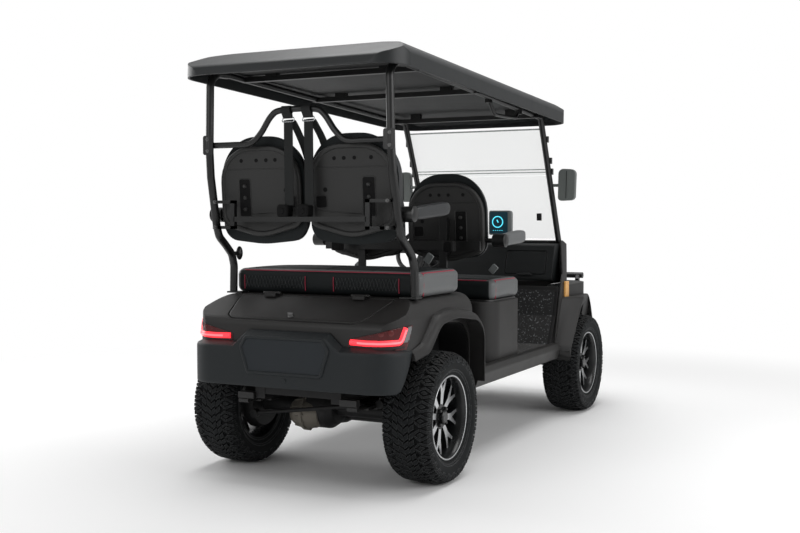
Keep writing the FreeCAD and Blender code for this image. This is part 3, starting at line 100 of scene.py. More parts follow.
# %% Lamps
def soft_lamp(name, place, target, width, height, power):
    data = bpy.data.lights.new(name, "AREA")
    data.shape = "RECTANGLE"
    data.size = width
    data.size_y = height
    data.energy = power
    lamp = bpy.data.objects.new(name, data)
    lamp.location = place
    lamp.rotation_mode = "QUATERNION"
    lamp.rotation_quaternion = (Vector(target) - Vector(place)).to_track_quat("-Z", "Y")
    bpy.context.scene.collection.objects.link(lamp)
    return lamp


middle = (cad_low + cad_high) / 2
soft_lamp("lamp_above", (0.2, 0.0, 5.2), (0.0, 0.0, 0.0), 5.0, 4.0, 210)
soft_lamp("lamp_right", (-0.6, -5.0, 2.6), middle, 4.5, 2.6, 100)
soft_lamp("lamp_left", (0.0, 5.0, 2.6), middle, 4.5, 2.6, 100)
soft_lamp("lamp_rear", (-6.0, 1.2, 2.8), middle, 3.4, 2.2, 45)

# %% [markdown]
# The world is what metal and glass reflect. It is white where the camera or a clear screen sees it,
# light grey in reflections, and a darker grey where it only lights the cart.

# %% World
FILL_LEVEL = 0.30
MIRROR_LEVEL = 0.45

world = bpy.data.worlds.new("studio")
world.use_nodes = True
bpy.context.scene.world = world
tree = world.node_tree
tree.nodes.clear()
path = tree.nodes.new("ShaderNodeLightPath")
seen = tree.nodes.new("ShaderNodeMath")
seen.operation = "MAXIMUM"
tree.links.new(path.outputs["Is Camera Ray"], seen.inputs[0])
tree.links.new(path.outputs["Is Transmission Ray"], seen.inputs[1])
dimmed = tree.nodes.new("ShaderNodeMath")
dimmed.operation = "MULTIPLY"
dimmed.inputs[1].default_value = MIRROR_LEVEL
tree.links.new(path.outputs["Is Glossy Ray"], dimmed.inputs[0])
levels = tree.nodes.new("ShaderNodeMath")
levels.operation = "MAXIMUM"
tree.links.new(seen.outputs[0], levels.inputs[0])
tree.links.new(dimmed.outputs[0], levels.inputs[1])
level = tree.nodes.new("ShaderNodeMath")
level.operation = "MAXIMUM"
level.inputs[1].default_value = FILL_LEVEL
tree.links.new(levels.outputs[0], level.inputs[0])
sky = tree.nodes.new("ShaderNodeBackground")
sky.inputs["Color"].default_value = (1, 1, 1, 1)
tree.links.new(level.outputs[0], sky.inputs["Strength"])
output = tree.nodes.new("ShaderNodeOutputWorld")
tree.links.new(sky.outputs[0], output.inputs[0])

# %% [markdown]
# The floor is a wide white sheet. Close to the cart it is a real surface that catches the shadow.
# Farther out it fades into plain white, so no horizon line cuts the picture.

# %% Floor
FLOOR_REACH = 14.0
FADE_START = 2.2
FADE_END = 4.6

floor_mesh = bpy.data.meshes.new("floor")
corners = [(-FLOOR_REACH, -FLOOR_REACH, 0), (FLOOR_REACH, -FLOOR_REACH, 0),
           (FLOOR_REACH, FLOOR_REACH, 0), (-FLOOR_REACH, FLOOR_REACH, 0)]
floor_mesh.from_pydata(corners, [], [(0, 1, 2, 3)])
floor = bpy.data.objects.new("floor", floor_mesh)
bpy.context.scene.collection.objects.link(floor)
floor.location.z = -0.0005

paper = bpy.data.materials.new("paper_sweep")
paper.use_nodes = True
tree = paper.node_tree
tree.nodes.clear()
place = tree.nodes.new("ShaderNodeTexCoord")
reach = tree.nodes.new("ShaderNodeVectorMath")
reach.operation = "LENGTH"
tree.links.new(place.outputs["Object"], reach.inputs[0])
fade = tree.nodes.new("ShaderNodeMapRange")
fade.interpolation_type = "SMOOTHSTEP"
fade.inputs["From Min"].default_value = FADE_START
fade.inputs["From Max"].default_value = FADE_END
tree.links.new(reach.outputs["Value"], fade.inputs["Value"])
path = tree.nodes.new("ShaderNodeLightPath")
straight = tree.nodes.new("ShaderNodeMath")
straight.operation = "MULTIPLY"
tree.links.new(fade.outputs[0], straight.inputs[0])
tree.links.new(path.outputs["Is Camera Ray"], straight.inputs[1])
matt = tree.nodes.new("ShaderNodeBsdfDiffuse")
matt.inputs["Color"].default_value = (0.97, 0.97, 0.97, 1)
plain = tree.nodes.new("ShaderNodeEmission")
plain.inputs["Strength"].default_value = 1.0
blend = tree.nodes.new("ShaderNodeMixShader")
tree.links.new(straight.outputs[0], blend.inputs[0])
tree.links.new(matt.outputs[0], blend.inputs[1])
tree.links.new(plain.outputs[0], blend.inputs[2])
output = tree.nodes.new("ShaderNodeOutputMaterial")
tree.links.new(blend.outputs[0], output.inputs[0])
floor_mesh.materials.append(paper)

# %% [markdown]
# Every finish here is one Principled shader fed by a few shared effects. An effect is a node group
# with named inputs, built once: grain for moulded skins, scuffs along edges that also carry a painted
# highlight, and settled dust.

# %% Shared effects
def new_group(name, inputs, outputs):
    group = bpy.data.node_groups.new(name, "ShaderNodeTree")
    for socket, start in inputs:
        kind = "NodeSocketVector" if start is None else "NodeSocketFloat"
        made = group.interface.new_socket(socket, in_out="INPUT", socket_type=kind)
        if start is not None:
            made.default_value = start
    for socket in outputs:
        group.interface.new_socket(socket, in_out="OUTPUT", socket_type="NodeSocketFloat")
    first = group.nodes.new("NodeGroupInput")
    last = group.nodes.new("NodeGroupOutput")
    return group, first, last


def math_node(tree, operation, first, second):
    node = tree.nodes.new("ShaderNodeMath")
    node.operation = operation
    node.use_clamp = operation == "MULTIPLY"
    for socket, value in zip(node.inputs, (first, second)):
        if isinstance(value, (int, float)):
            socket.default_value = value
        else:
            tree.links.new(value, socket)
    return node.outputs[0]


def build_grain():
    # Fine pits on a slow waviness, as a textured mould leaves them
    group, first, last = new_group(
        "moulded_grain", [("Place", None), ("Scale", 900.0), ("Wave", 9.0)], ["Height", "Patch"])
    fine = group.nodes.new("ShaderNodeTexNoise")
    fine.inputs["Detail"].default_value = 2.0
    slow = group.nodes.new("ShaderNodeTexNoise")
    slow.inputs["Detail"].default_value = 4.0
    group.links.new(first.outputs["Place"], fine.inputs["Vector"])
    group.links.new(first.outputs["Scale"], fine.inputs["Scale"])
    group.links.new(first.outputs["Place"], slow.inputs["Vector"])
    group.links.new(first.outputs["Wave"], slow.inputs["Scale"])
    group.links.new(fine.outputs["Fac"], last.inputs["Height"])
    group.links.new(slow.outputs["Fac"], last.inputs["Patch"])
    return group


def build_rub_and_highlight():
    # Edges rub bright first, and the same lightening paints a highlight along them: the angle between a
    # rounded normal and the true one finds them
    group, first, last = new_group(
        "edge_rub_and_highlight", [("Place", None), ("Width", 0.004), ("Breakup", 60.0)], ["Mask"])
    rounded = group.nodes.new("ShaderNodeBevel")
    rounded.samples = 4
    group.links.new(first.outputs["Width"], rounded.inputs["Radius"])
    true = group.nodes.new("ShaderNodeNewGeometry")
    agree = group.nodes.new("ShaderNodeVectorMath")
    agree.operation = "DOT_PRODUCT"
    group.links.new(rounded.outputs[0], agree.inputs[0])
    group.links.new(true.outputs["Normal"], agree.inputs[1])
    spread = group.nodes.new("ShaderNodeMapRange")
    spread.inputs["From Min"].default_value = 0.995
    spread.inputs["From Max"].default_value = 0.86
    group.links.new(agree.outputs["Value"], spread.inputs["Value"])
    patches = group.nodes.new("ShaderNodeTexNoise")
    group.links.new(first.outputs["Place"], patches.inputs["Vector"])
    group.links.new(first.outputs["Breakup"], patches.inputs["Scale"])
    mask = math_node(group, "MULTIPLY", spread.outputs[0], patches.outputs["Fac"])
    group.links.new(mask, last.inputs["Mask"])
    return group


def build_dust():
    # Dust stays on what faces up
    group, first, last = new_group("settled_dust", [("Place", None), ("Scale", 14.0)], ["Mask"])
    facing = group.nodes.new("ShaderNodeNewGeometry")
    split = group.nodes.new("ShaderNodeSeparateXYZ")
    group.links.new(facing.outputs["Normal"], split.inputs[0])
    cloud = group.nodes.new("ShaderNodeTexNoise")
    cloud.inputs["Detail"].default_value = 6.0
    group.links.new(first.outputs["Place"], cloud.inputs["Vector"])
    group.links.new(first.outputs["Scale"], cloud.inputs["Scale"])
    upward = group.nodes.new("ShaderNodeMapRange")
    upward.inputs["From Min"].default_value = 0.2
    upward.inputs["From Max"].default_value = 1.0
    group.links.new(split.outputs["Z"], upward.inputs["Value"])
    mask = math_node(group, "MULTIPLY", upward.outputs[0], cloud.outputs["Fac"])
    group.links.new(mask, last.inputs["Mask"])
    return group


GRAIN = build_grain()
RUB_AND_HIGHLIGHT = build_rub_and_highlight()
DUST = build_dust()
print("effects", [g.name for g in (GRAIN, RUB_AND_HIGHLIGHT, DUST)])

# %% [markdown]
# A finish is built by one function, so all skins answer light in the same way. It mixes two close
# colours by slow patches, lightens edges for rubbing and a painted highlight, adds dust, and rounds sharp
# edges in the normal.

# %% Finish builder
def mix_colour(tree, share, first, second):
    node = tree.nodes.new("ShaderNodeMix")
    node.data_type = "RGBA"
    tree.links.new(share, node.inputs["Factor"])
    for socket, value in ((node.inputs[6], first), (node.inputs[7], second)):
        if isinstance(value, tuple):
            socket.default_value = (*value, 1.0)
        else:
            tree.links.new(value, socket)
    return node.outputs[2]


def place_group(tree, group, place, **values):
    node = tree.nodes.new("ShaderNodeGroup")
    node.node_tree = group
    tree.links.new(place, node.inputs["Place"])
    for socket, value in values.items():
        node.inputs[socket].default_value = value
    return node


def finish(name, colour, roughness, specular=0.3, metallic=0.0, grain=0.2, grain_scale=900.0,
           patch=0.12, rub_and_highlight_colour=None, rub_and_highlight=0.0, edge=0.004, dust=0.0, dust_colour=(0.16, 0.15, 0.14)):
    material = bpy.data.materials.new(name)
    material.use_nodes = True
    tree = material.node_tree
    shader = tree.nodes["Principled BSDF"]
    shader.inputs["Metallic"].default_value = metallic
    shader.inputs["Specular IOR Level"].default_value = specular
    place = tree.nodes.new("ShaderNodeTexCoord").outputs["Object"]
    skin = place_group(tree, GRAIN, place, Scale=grain_scale)
    light = tuple(min(1.0, c * (1 + patch)) for c in colour)
    dark = tuple(c * (1 - patch) for c in colour)
    base = mix_colour(tree, skin.outputs["Patch"], dark, light)
    # Edges lighten toward a paler colour: partly real rubbing, partly a painted highlight along the edge
    if rub_and_highlight:
        rub_and_highlight_mask = place_group(tree, RUB_AND_HIGHLIGHT, place, Width=edge)
        amount = math_node(tree, "MULTIPLY", rub_and_highlight_mask.outputs["Mask"], rub_and_highlight)
        base = mix_colour(tree, amount, base, rub_and_highlight_colour)
    if dust:
        settled = place_group(tree, DUST, place)
        amount = math_node(tree, "MULTIPLY", settled.outputs["Mask"], dust)
        base = mix_colour(tree, amount, base, dust_colour)
    tree.links.new(base, shader.inputs["Base Color"])
    spread = tree.nodes.new("ShaderNodeMapRange")
    spread.inputs["To Min"].default_value = roughness - 0.07
    spread.inputs["To Max"].default_value = roughness + 0.07
    tree.links.new(skin.outputs["Patch"], spread.inputs["Value"])
    tree.links.new(spread.outputs[0], shader.inputs["Roughness"])
    rounded = tree.nodes.new("ShaderNodeBevel")
    rounded.samples = 4
    rounded.inputs["Radius"].default_value = edge
    bump = tree.nodes.new("ShaderNodeBump")
    bump.inputs["Strength"].default_value = grain
    bump.inputs["Distance"].default_value = 0.0006
    tree.links.new(skin.outputs["Height"], bump.inputs["Height"])
    tree.links.new(rounded.outputs[0], bump.inputs["Normal"])
    tree.links.new(bump.outputs[0], shader.inputs["Normal"])
    return material


# %% Finishes of the body, frame and roof
BODY = finish("body_satin", (0.0105, 0.0098, 0.0094), 0.46, specular=0.42, grain=0.08, patch=0.1,
              rub_and_highlight_colour=(0.06, 0.058, 0.056), rub_and_highlight=0.35, edge=0.007, dust=0.05)
BUMPER = finish("bumper_grain", (0.0062, 0.0090, 0.0108), 0.55, specular=0.36, grain=0.35,
                grain_scale=700.0, rub_and_highlight_colour=(0.05, 0.058, 0.06), rub_and_highlight=0.3, edge=0.007, dust=0.05)
FLARE = finish("flare_grain", (0.011, 0.0104, 0.0102), 0.5, specular=0.4, grain=0.3,
               rub_and_highlight_colour=(0.05, 0.05, 0.05), rub_and_highlight=0.3, edge=0.006, dust=0.06)
LINER = finish("liner_black", (0.004, 0.004, 0.0042), 0.75, specular=0.2, grain=0.3, dust=0.08)
ROOF = finish("roof_satin", (0.0135, 0.0155, 0.0165), 0.42, specular=0.42, grain=0.06,
              rub_and_highlight_colour=(0.06, 0.065, 0.068), rub_and_highlight=0.25, edge=0.008, dust=0.04)
ROOF_LINING = finish("roof_lining", (0.034, 0.035, 0.035), 0.62, specular=0.3, grain=0.3)
TUBE = finish("powder_coat", (0.0052, 0.0055, 0.0056), 0.34, specular=0.5, grain=0.22,
              grain_scale=1500.0, rub_and_highlight_colour=(0.05, 0.052, 0.052), rub_and_highlight=0.3, edge=0.002)
CHASSIS = finish("chassis_paint", (0.006, 0.006, 0.0065), 0.55, specular=0.35, grain=0.25,
                 rub_and_highlight_colour=(0.07, 0.06, 0.05), rub_and_highlight=0.4, edge=0.003, dust=0.2)
CASTING = finish("cast_housing", (0.17, 0.155, 0.13), 0.62, specular=0.4, metallic=0.35, grain=0.7,
                 grain_scale=420.0, rub_and_highlight_colour=(0.3, 0.28, 0.25), rub_and_highlight=0.5, edge=0.004, dust=0.3)
SPRING = finish("spring_steel", (0.011, 0.011, 0.011), 0.45, specular=0.45, grain=0.3,
                rub_and_highlight_colour=(0.12, 0.09, 0.07), rub_and_highlight=0.4, edge=0.002, dust=0.2)
SHELL = finish("seat_shell", (0.024, 0.024, 0.0235), 0.5, specular=0.42, grain=0.3,
               grain_scale=1100.0, rub_and_highlight_colour=(0.08, 0.08, 0.08), rub_and_highlight=0.3, edge=0.006)
DASH = finish("dash_grain", (0.0055, 0.0068, 0.0072), 0.55, specular=0.35, grain=0.45,
              grain_scale=600.0, edge=0.006)
RUBBER_MAT = finish("floor_rubber", (0.011, 0.0115, 0.012), 0.7, specular=0.3, grain=0.5,
                    grain_scale=350.0, dust=0.35)
TRIM = finish("brushed_trim", (0.13, 0.13, 0.13), 0.36, specular=0.5, metallic=0.9, grain=0.15,
              rub_and_highlight_colour=(0.4, 0.4, 0.4), rub_and_highlight=0.4, edge=0.002)
SILVER = finish("machined_face", (0.60, 0.61, 0.62), 0.3, specular=0.5, metallic=0.9, grain=0.12,
                grain_scale=1600.0, edge=0.002)
RIM_BLACK = finish("rim_black", (0.006, 0.0065, 0.007), 0.28, specular=0.5, grain=0.05, edge=0.002)
# The tyre's lug edges lighten at full strength, a painted highlight more than scuffing
TYRE = finish("tyre_rubber", (0.0062, 0.0072, 0.0078), 0.74, specular=0.2, grain=0.35,
              grain_scale=500.0, rub_and_highlight_colour=(0.16, 0.165, 0.17), rub_and_highlight=1.0, edge=0.0032, dust=0.18)
# The floor between the lugs is darker than the lugs: painted shade in the grooves
GROOVE_SHADE = finish("tyre_groove_shade", (0.0045, 0.005, 0.0055), 0.8, specular=0.2, grain=0.3, dust=0.1)
MIRROR_SHELL = finish("mirror_shell", (0.125, 0.138, 0.132), 0.4, specular=0.45, grain=0.1, edge=0.006)
GRIP = finish("grip_leather", (0.007, 0.007, 0.0075), 0.5, specular=0.35, grain=0.6, grain_scale=380.0)
BATTERY_CASE = finish("battery_case", (0.012, 0.012, 0.014), 0.5, specular=0.35, grain=0.2)

# %% [markdown]
# The rubber floor mats are speckled with pale chips. Chips that small don't change the outline, so
# a noise with a hard edge mixes a lighter colour into the mat's own colour.

# %% Flecked mats
FLECK_SCALE = 95.0
FLECK_RANGE = (0.60, 0.66)
FLECK_COLOUR = (0.14, 0.145, 0.15)


def add_flecks(material):
    tree = material.node_tree
    base = tree.nodes["Principled BSDF"].inputs["Base Color"]
    chips = tree.nodes.new("ShaderNodeTexNoise")
    chips.inputs["Scale"].default_value = FLECK_SCALE
    chips.inputs["Detail"].default_value = 3.0
    tree.links.new(tree.nodes.new("ShaderNodeTexCoord").outputs["Object"], chips.inputs["Vector"])
    mask = tree.nodes.new("ShaderNodeMapRange")
    mask.inputs["From Min"].default_value, mask.inputs["From Max"].default_value = FLECK_RANGE
    tree.links.new(chips.outputs["Fac"], mask.inputs["Value"])
    tree.links.new(mix_colour(tree, mask.outputs[0], base.links[0].from_socket, FLECK_COLOUR), base)


add_flecks(RUBBER_MAT)
print("mats", RUBBER_MAT.name)

# %% [markdown]
# The frame names a material slot for each of its nodes. A table gives every slot its finish, so a
# node that isn't dressed below still looks like what it is made of.

# %% Finishes go onto the frame's own nodes
FINISH_OF = {
    "body_shell": BODY, "bumper_plastic": BUMPER, "flare_plastic": FLARE, "liner_plastic": LINER,
    "roof_shell": ROOF, "roof_lining": ROOF_LINING, "tube_paint": TUBE, "frame_steel": CHASSIS,
    "axle_casting": CHASSIS, "spring_steel": SPRING, "seat_shell": SHELL, "dash_plastic": DASH,
    "floor_rubber": RUBBER_MAT, "trim_metal": TRIM, "rim_alloy": SILVER, "tyre_rubber": TYRE,
    "mirror_housing": MIRROR_SHELL, "grip_rubber": GRIP, "battery_case": BATTERY_CASE,
    "motor_case": CHASSIS, "pedal_metal": CHASSIS, "screen_gloss": DASH, "seat_vinyl": SHELL,
    "belt_webbing": LINER, "red_lens": LINER, "clear_lens": TRIM, "tinted_screen": DASH,
}


def wear_finish(node, material):
    thing = nodes[node]
    if not thing.material_slots:
        thing.data.materials.append(material)
    for slot in thing.material_slots:
        slot.material = material


for row in frame["record"]["subparts"]:
    wear_finish(row["node"], FINISH_OF[row["material_slot"]])
print("finishes", len(FINISH_OF))

# %% [markdown]
# Most added pieces are meshes written point by point, so a few helpers are shared. Modifiers could
# make some of them, but a mesh from points keeps each edge at a place that is known and named.

# %% Mesh helpers
SMOOTH_LIMIT = math.radians(34)
ALONG_Y = Vector((0, 1, 0))
REARWARD = Vector((-1, 0, 0))
BOTH_SIDES = ((1, "left"), (-1, "right"))


def round_angles(count):
    return [2 * math.pi * k / count for k in range(count)]


def box_of(node):
    return tuple(Vector(corner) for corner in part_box(node))


def closed_mesh(name, points, faces):
    mesh = bpy.data.meshes.new(name)
    mesh.from_pydata([tuple(p) for p in points], [], faces)
    shape = bmesh.new()
    shape.from_mesh(mesh)
    bmesh.ops.recalc_face_normals(shape, faces=shape.faces)
    shape.to_mesh(mesh)
    shape.free()
    return mesh


def place_object(name, mesh):
    thing = bpy.data.objects.new(name, mesh)
    bpy.context.scene.collection.objects.link(thing)
    return thing


def make_piece(name, points, faces, skins, slot, body="chassis", node=None, smooth=True):
    mesh = closed_mesh(name, points, faces)
    for skin in skins if isinstance(skins, list) else [skins]:
        mesh.materials.append(skin)
    mesh.polygons.foreach_set("use_smooth", [smooth] * len(mesh.polygons))
    if smooth:
        mesh.set_sharp_from_angle(angle=SMOOTH_LIMIT)
    piece = place_object(name, mesh)
    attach(piece, body)
    if node:
        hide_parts(node)
    return piece


def ring_faces(rings, count, closed=False):
    # Quads between rings of points that follow each other
    faces = []
    for i in range(rings if closed else rings - 1):
        j = (i + 1) % rings
        for k in range(count):
            n = (k + 1) % count
            faces.append((i * count + k, i * count + n, j * count + n, j * count + k))
    if not closed:
        faces.append(tuple(range(count)))
        faces.append(tuple(range((rings - 1) * count, rings * count)))
    return faces


class Build:
    # Points and faces gathered from several simple forms into one mesh
    def __init__(self):
        self.points = []
        self.faces = []

    def piece(self, name, skins, slot, **more):
        return make_piece(name, self.points, self.faces, skins, slot, **more)

    def add(self, points, faces):
        first = len(self.points)
        self.points += [Vector(p) for p in points]
        self.faces += [tuple(first + i for i in face) for face in faces]

    def lofted(self, rings):
        self.add([p for ring in rings for p in ring], ring_faces(len(rings), len(rings[0])))

    def bar(self, line, radius, sides=10, closed=False):
        # A round bar along a line
        line = [Vector(p) for p in line]
        count = len(line)
        rings = []
        side = None
        for i, here in enumerate(line):
            before = line[i - 1] if closed or i > 0 else here
            after = line[(i + 1) % count] if closed or i < count - 1 else here
            along = (after - before).normalized()
            if side is None:
                side = along.orthogonal().normalized()
            side = (side - along * side.dot(along)).normalized()
            up = along.cross(side)
            rings.append([here + (side * math.cos(a) + up * math.sin(a)) * radius
                          for a in round_angles(sides)])
        self.add([p for ring in rings for p in ring], ring_faces(count, sides, closed))

    def turned(self, section, centre, axis, steps=32, closed=False):
        # Section points are (distance along the axis, radius)
        axis = Vector(axis).normalized()
        side = axis.orthogonal().normalized()
        up = axis.cross(side)
        count = len(section)
        points = []
        for angle in round_angles(steps):
            out = side * math.cos(angle) + up * math.sin(angle)
            points += [Vector(centre) + axis * along + out * radius for along, radius in section]
        faces = []
        for k in range(steps):
            n = (k + 1) % steps
            for i in range(count if closed else count - 1):
                j = (i + 1) % count
                faces.append((k * count + i, k * count + j, n * count + j, n * count + i))
        if not closed:
            faces.append(tuple(k * count for k in range(steps)))
            faces.append(tuple(k * count + count - 1 for k in range(steps)))
        self.add(points, faces)

    def slab(self, outline, thick, to_space):
        # A flat form: the outline is (a, b) pairs, to_space(a, b, depth) puts it in the cart
        count = len(outline)
        points = [to_space(a, b, 0.0) for a, b in outline] + [to_space(a, b, thick) for a, b in outline]
        faces = [tuple(range(count)), tuple(range(count, 2 * count))]
        faces += [(i, (i + 1) % count, count + (i + 1) % count, count + i) for i in range(count)]
        self.add(points, faces)

    def block(self, low, high):
        (x0, y0, z0), (x1, y1, z1) = low, high
        points = [(x, y, z) for x in (x0, x1) for y in (y0, y1) for z in (z0, z1)]
        self.add(points, [(0, 1, 3, 2), (4, 5, 7, 6), (0, 1, 5, 4), (2, 3, 7, 6), (0, 2, 6, 4), (1, 3, 7, 5)])


# %% [markdown]
# Pressed and moulded parts have round corners. An outline is given by its corners and their radii,
# which is shorter than its points and keeps each radius as one number.

# %% Rounded outlines
def rounded_loop(corners, steps=5):
    # Corners are (a, b, radius); each becomes a short arc of points
    loop = []
    count = len(corners)
    for i, (a, b, radius) in enumerate(corners):
        here = Vector((a, b))
        to_before = (Vector(corners[i - 1][:2]) - here).normalized()
        to_after = (Vector(corners[(i + 1) % count][:2]) - here).normalized()
        half = to_before.angle(to_after) / 2
        if radius == 0 or abs(half - math.pi / 2) < 1e-4:
            loop.append(here)
            continue
        centre = here + (to_before + to_after).normalized() * radius / math.sin(half)
        start = here + to_before * radius / math.tan(half) - centre
        end = here + to_after * radius / math.tan(half) - centre
        sweep = start.angle_signed(end)
        for k in range(steps + 1):
            turn = Matrix.Rotation(-sweep * k / steps, 2)
            loop.append(centre + turn @ start)
    return [(p.x, p.y) for p in loop]


def rounded_box(low, high, radius, steps):
    (a0, b0), (a1, b1) = low, high
    return rounded_loop([(a0, b0, radius), (a1, b0, radius), (a1, b1, radius), (a0, b1, radius)], steps)


# %% [markdown]
# An off-road tyre is a smooth carcass with rubber lugs standing on it. The lugs are modelled, not
# bumped, because their saw-tooth outline shows. Each is a short strip over the curve of the
# carcass: slanted bars make arrows along the middle, and split diamonds grip at each shoulder.

# %% Tyre carcass
TYRE_SECTION = [
    (0.0, 0.2800), (0.06, 0.2790), (0.085, 0.2765), (0.098, 0.2700), (0.106, 0.258), (0.109, 0.240),
    (0.106, 0.222), (0.097, 0.205), (0.0885, 0.192), (0.0877, 0.178)]
WHEEL_RADIUS = 0.292
ARROW_ROWS = 56
SHOULDER_LUGS = 30
LUG_FLANK = 0.0016
SIDEWALL_RINGS = ((0.212, 0.1012), (0.204, 0.0968))


def over_carcass(distance, height):
    # From the middle of the tread, measured over the rubber; gives (across, radius)
    side = 1 if distance >= 0 else -1
    left = abs(distance)
    for (t0, r0), (t1, r1) in zip(TYRE_SECTION, TYRE_SECTION[1:]):
        run = math.hypot(t1 - t0, r1 - r0)
        if left <= run:
            across = t0 + (t1 - t0) * left / run + (r0 - r1) / run * height
            return side * across, r0 + (r1 - r0) * left / run + (t1 - t0) / run * height
        left -= run


# %% [markdown]
# The tread is built over half its pitch on each side, so that the arrows and diamonds of the two
# sides are staggered. A thin bead on the sidewall marks where the rim's edge is guarded.

# %% Tread
def add_lug(form, stations):
    # Each station is (distance over, low edge, high edge, height) with edges along the tread
    points = []
    for over, low, high, height in stations:
        edges = (low - LUG_FLANK, -0.001), (low, height), (high, height), (high + LUG_FLANK, -0.001)
        for edge, lift in edges:
            across, radius = over_carcass(over, lift)
            angle = edge / WHEEL_RADIUS
            points.append((radius * math.sin(angle), across, radius * math.cos(angle)))
    faces = []
    for i in range(len(stations) - 1):
        for k in range(3):
            a = 4 * i + k
            faces.append((a, a + 1, a + 5, a + 4))
    last = 4 * (len(stations) - 1)
    faces += [(0, 1, 2, 3), (last, last + 1, last + 2, last + 3)]
    form.add(points, faces)


def add_wedge(form, side, centre, stations):
    # A lug that is even about its middle: stations are (distance over, half width, height)
    add_lug(form, [(side * over, centre - half, centre + half, height) for over, half, height in stations])


# The block inside a diamond and the foot between two diamonds, as (distance over, half width, height)
BLOCK_WEDGE = [(0.066, 0.0020, 0.0100), (0.0765, 0.0095, 0.0110), (0.0900, 0.0012, 0.0100)]
FOOT_WEDGE = [(0.086, 0.0015, 0.0100), (0.100, 0.0080, 0.0090), (0.118, 0.0050, 0.0040)]


def add_diamond(form, side, centre):
    # Four slanted bars round a small block, then two claws that run down onto the sidewall
    for half in (-1, 1):
        for stations in (
                [(0.053, 0.002, 0.0115, 0.0115), (0.0755, 0.0165, 0.0275, 0.0115)],
                [(0.0785, 0.0165, 0.0275, 0.0112), (0.1000, 0.0045, 0.0165, 0.0098)],
                [(0.1020, 0.0030, 0.0160, 0.0090), (0.1140, 0.0020, 0.0130, 0.0056),
                 (0.1280, 0.0020, 0.0100, 0.0026)]):
            lug = []
            for over, a, b, height in stations:
                low, high = sorted((half * a, half * b))
                lug.append((side * over, centre + low, centre + high, height))
            add_lug(form, lug)
    add_wedge(form, side, centre, BLOCK_WEDGE)
    between = centre + math.pi * WHEEL_RADIUS / SHOULDER_LUGS
    add_wedge(form, side, between, FOOT_WEDGE)


def tread_form():
    form = Build()
    mirrored_section = [(-t, r) for t, r in TYRE_SECTION[:0:-1]]
    form.turned(mirrored_section + TYRE_SECTION, (0, 0, 0), ALONG_Y, steps=96, closed=True)
    pitch = 2 * math.pi * WHEEL_RADIUS / ARROW_ROWS
    for row in range(ARROW_ROWS):
        for near, far, shift, lift in ((0.0012, 0.0235, 0.0, 0.0125), (0.0275, 0.0495, 0.010, 0.012)):
            for side in (-1, 1):
                start = row * pitch + shift + (0.006 if side > 0 else 0.0)
                add_lug(form, [(side * near, start, start + 0.0215, lift),
                               (side * far, start + 0.0165, start + 0.0380, lift)])
    pitch = 2 * math.pi * WHEEL_RADIUS / SHOULDER_LUGS
    for side in (-1, 1):
        for row in range(SHOULDER_LUGS):
            add_diamond(form, side, (row + (0.5 if side > 0 else 0.0)) * pitch)
    for side in (-1, 1):
        for radius, across in SIDEWALL_RINGS:
            ring = [(radius * math.sin(a), side * across, radius * math.cos(a)) for a in round_angles(72)]
            form.bar(ring, 0.0016, sides=6, closed=True)
    return form


# Carcass faces between the lugs take the darker colour, painted shade
def in_groove(polygon):
    spot = polygon.center
    return 0.262 < math.hypot(spot.x, spot.z) < 0.2802 and abs(spot.y) < 0.104


# %% [markdown]
# All four wheels are alike, so each wheel piece is one mesh shown four times. Every copy rides its
# own wheel body, and the right-hand rims are turned about so that their faces look outward.

# %% Wheel places
WHEEL_PLACES = {}
for hand in ("left", "right"):
    for end in ("front", "rear"):
        low, high = box_of("tyre_%s_%s" % (end, hand))
        WHEEL_PLACES[(end, hand)] = (low + high) / 2
REAR_WHEEL_X = -1.065
FRONT_WHEEL_X = 1.015


def on_wheels(form, name, node, skins, slot, is_second, turns_about=False):
    # is_second(polygon) picks the faces that have the second finish
    mesh = None
    for (end, hand), centre in WHEEL_PLACES.items():
        full_name = "%s_%s_%s" % (name, end, hand)
        body = "%s_%s_wheel" % (end, hand)
        if mesh is None:
            piece = form.piece(full_name, skins, slot, body=body)
            mesh = piece.data
            for polygon in mesh.polygons:
                polygon.material_index = 1 if is_second(polygon) else 0
        else:
            piece = place_object(full_name, mesh)
            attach(piece, body)
        piece.location = centre
        if turns_about and hand == "right":
            piece.rotation_euler = (0, 0, math.pi)
        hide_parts("%s_%s_%s" % (node, end, hand))
    print(name, "faces", len(mesh.polygons))


on_wheels(tread_form(), "tread", "tyre", [TYRE, GROOVE_SHADE], "tyre_rubber", in_groove)

# %% [markdown]
# The rim is a deep black barrel. Eight forked spokes stand near its outer face, machined bright, and
# a ribbed cap with four nuts closes the hub. A thin silver ring on the outer lip is a painted highlight.
# Sizes are from the wheel's centre, outward along Y.

# %% Rims
RIM_SECTION = [
    (0.0893, 0.1880), (0.0912, 0.1855), (0.0900, 0.1812), (0.0840, 0.1765), (0.0700, 0.1715),
    (0.0480, 0.1690), (-0.0100, 0.1580), (-0.0600, 0.1600), (-0.0840, 0.1740), (-0.0893, 0.1875),
    (-0.0868, 0.1890), (-0.0790, 0.1770), (0.0790, 0.1775), (0.0868, 0.1890)]
HUB_SECTION = [(0.012, 0.056), (0.0445, 0.056), (0.0470, 0.053), (0.0475, 0.0)]
FORK_HALF = [(-0.0125, 0.050), (-0.0150, 0.104), (-0.0370, 0.166), (-0.0235, 0.1675)]
FORK = FORK_HALF + [(0.0, 0.124)] + [(-a, b) for a, b in FORK_HALF[::-1]]
SPOKES = 8
SPOKE_START = 36.0
SPOKE_FACE = 0.0455
CAP_FOOT = 0.047
CAP_RIBS = 14


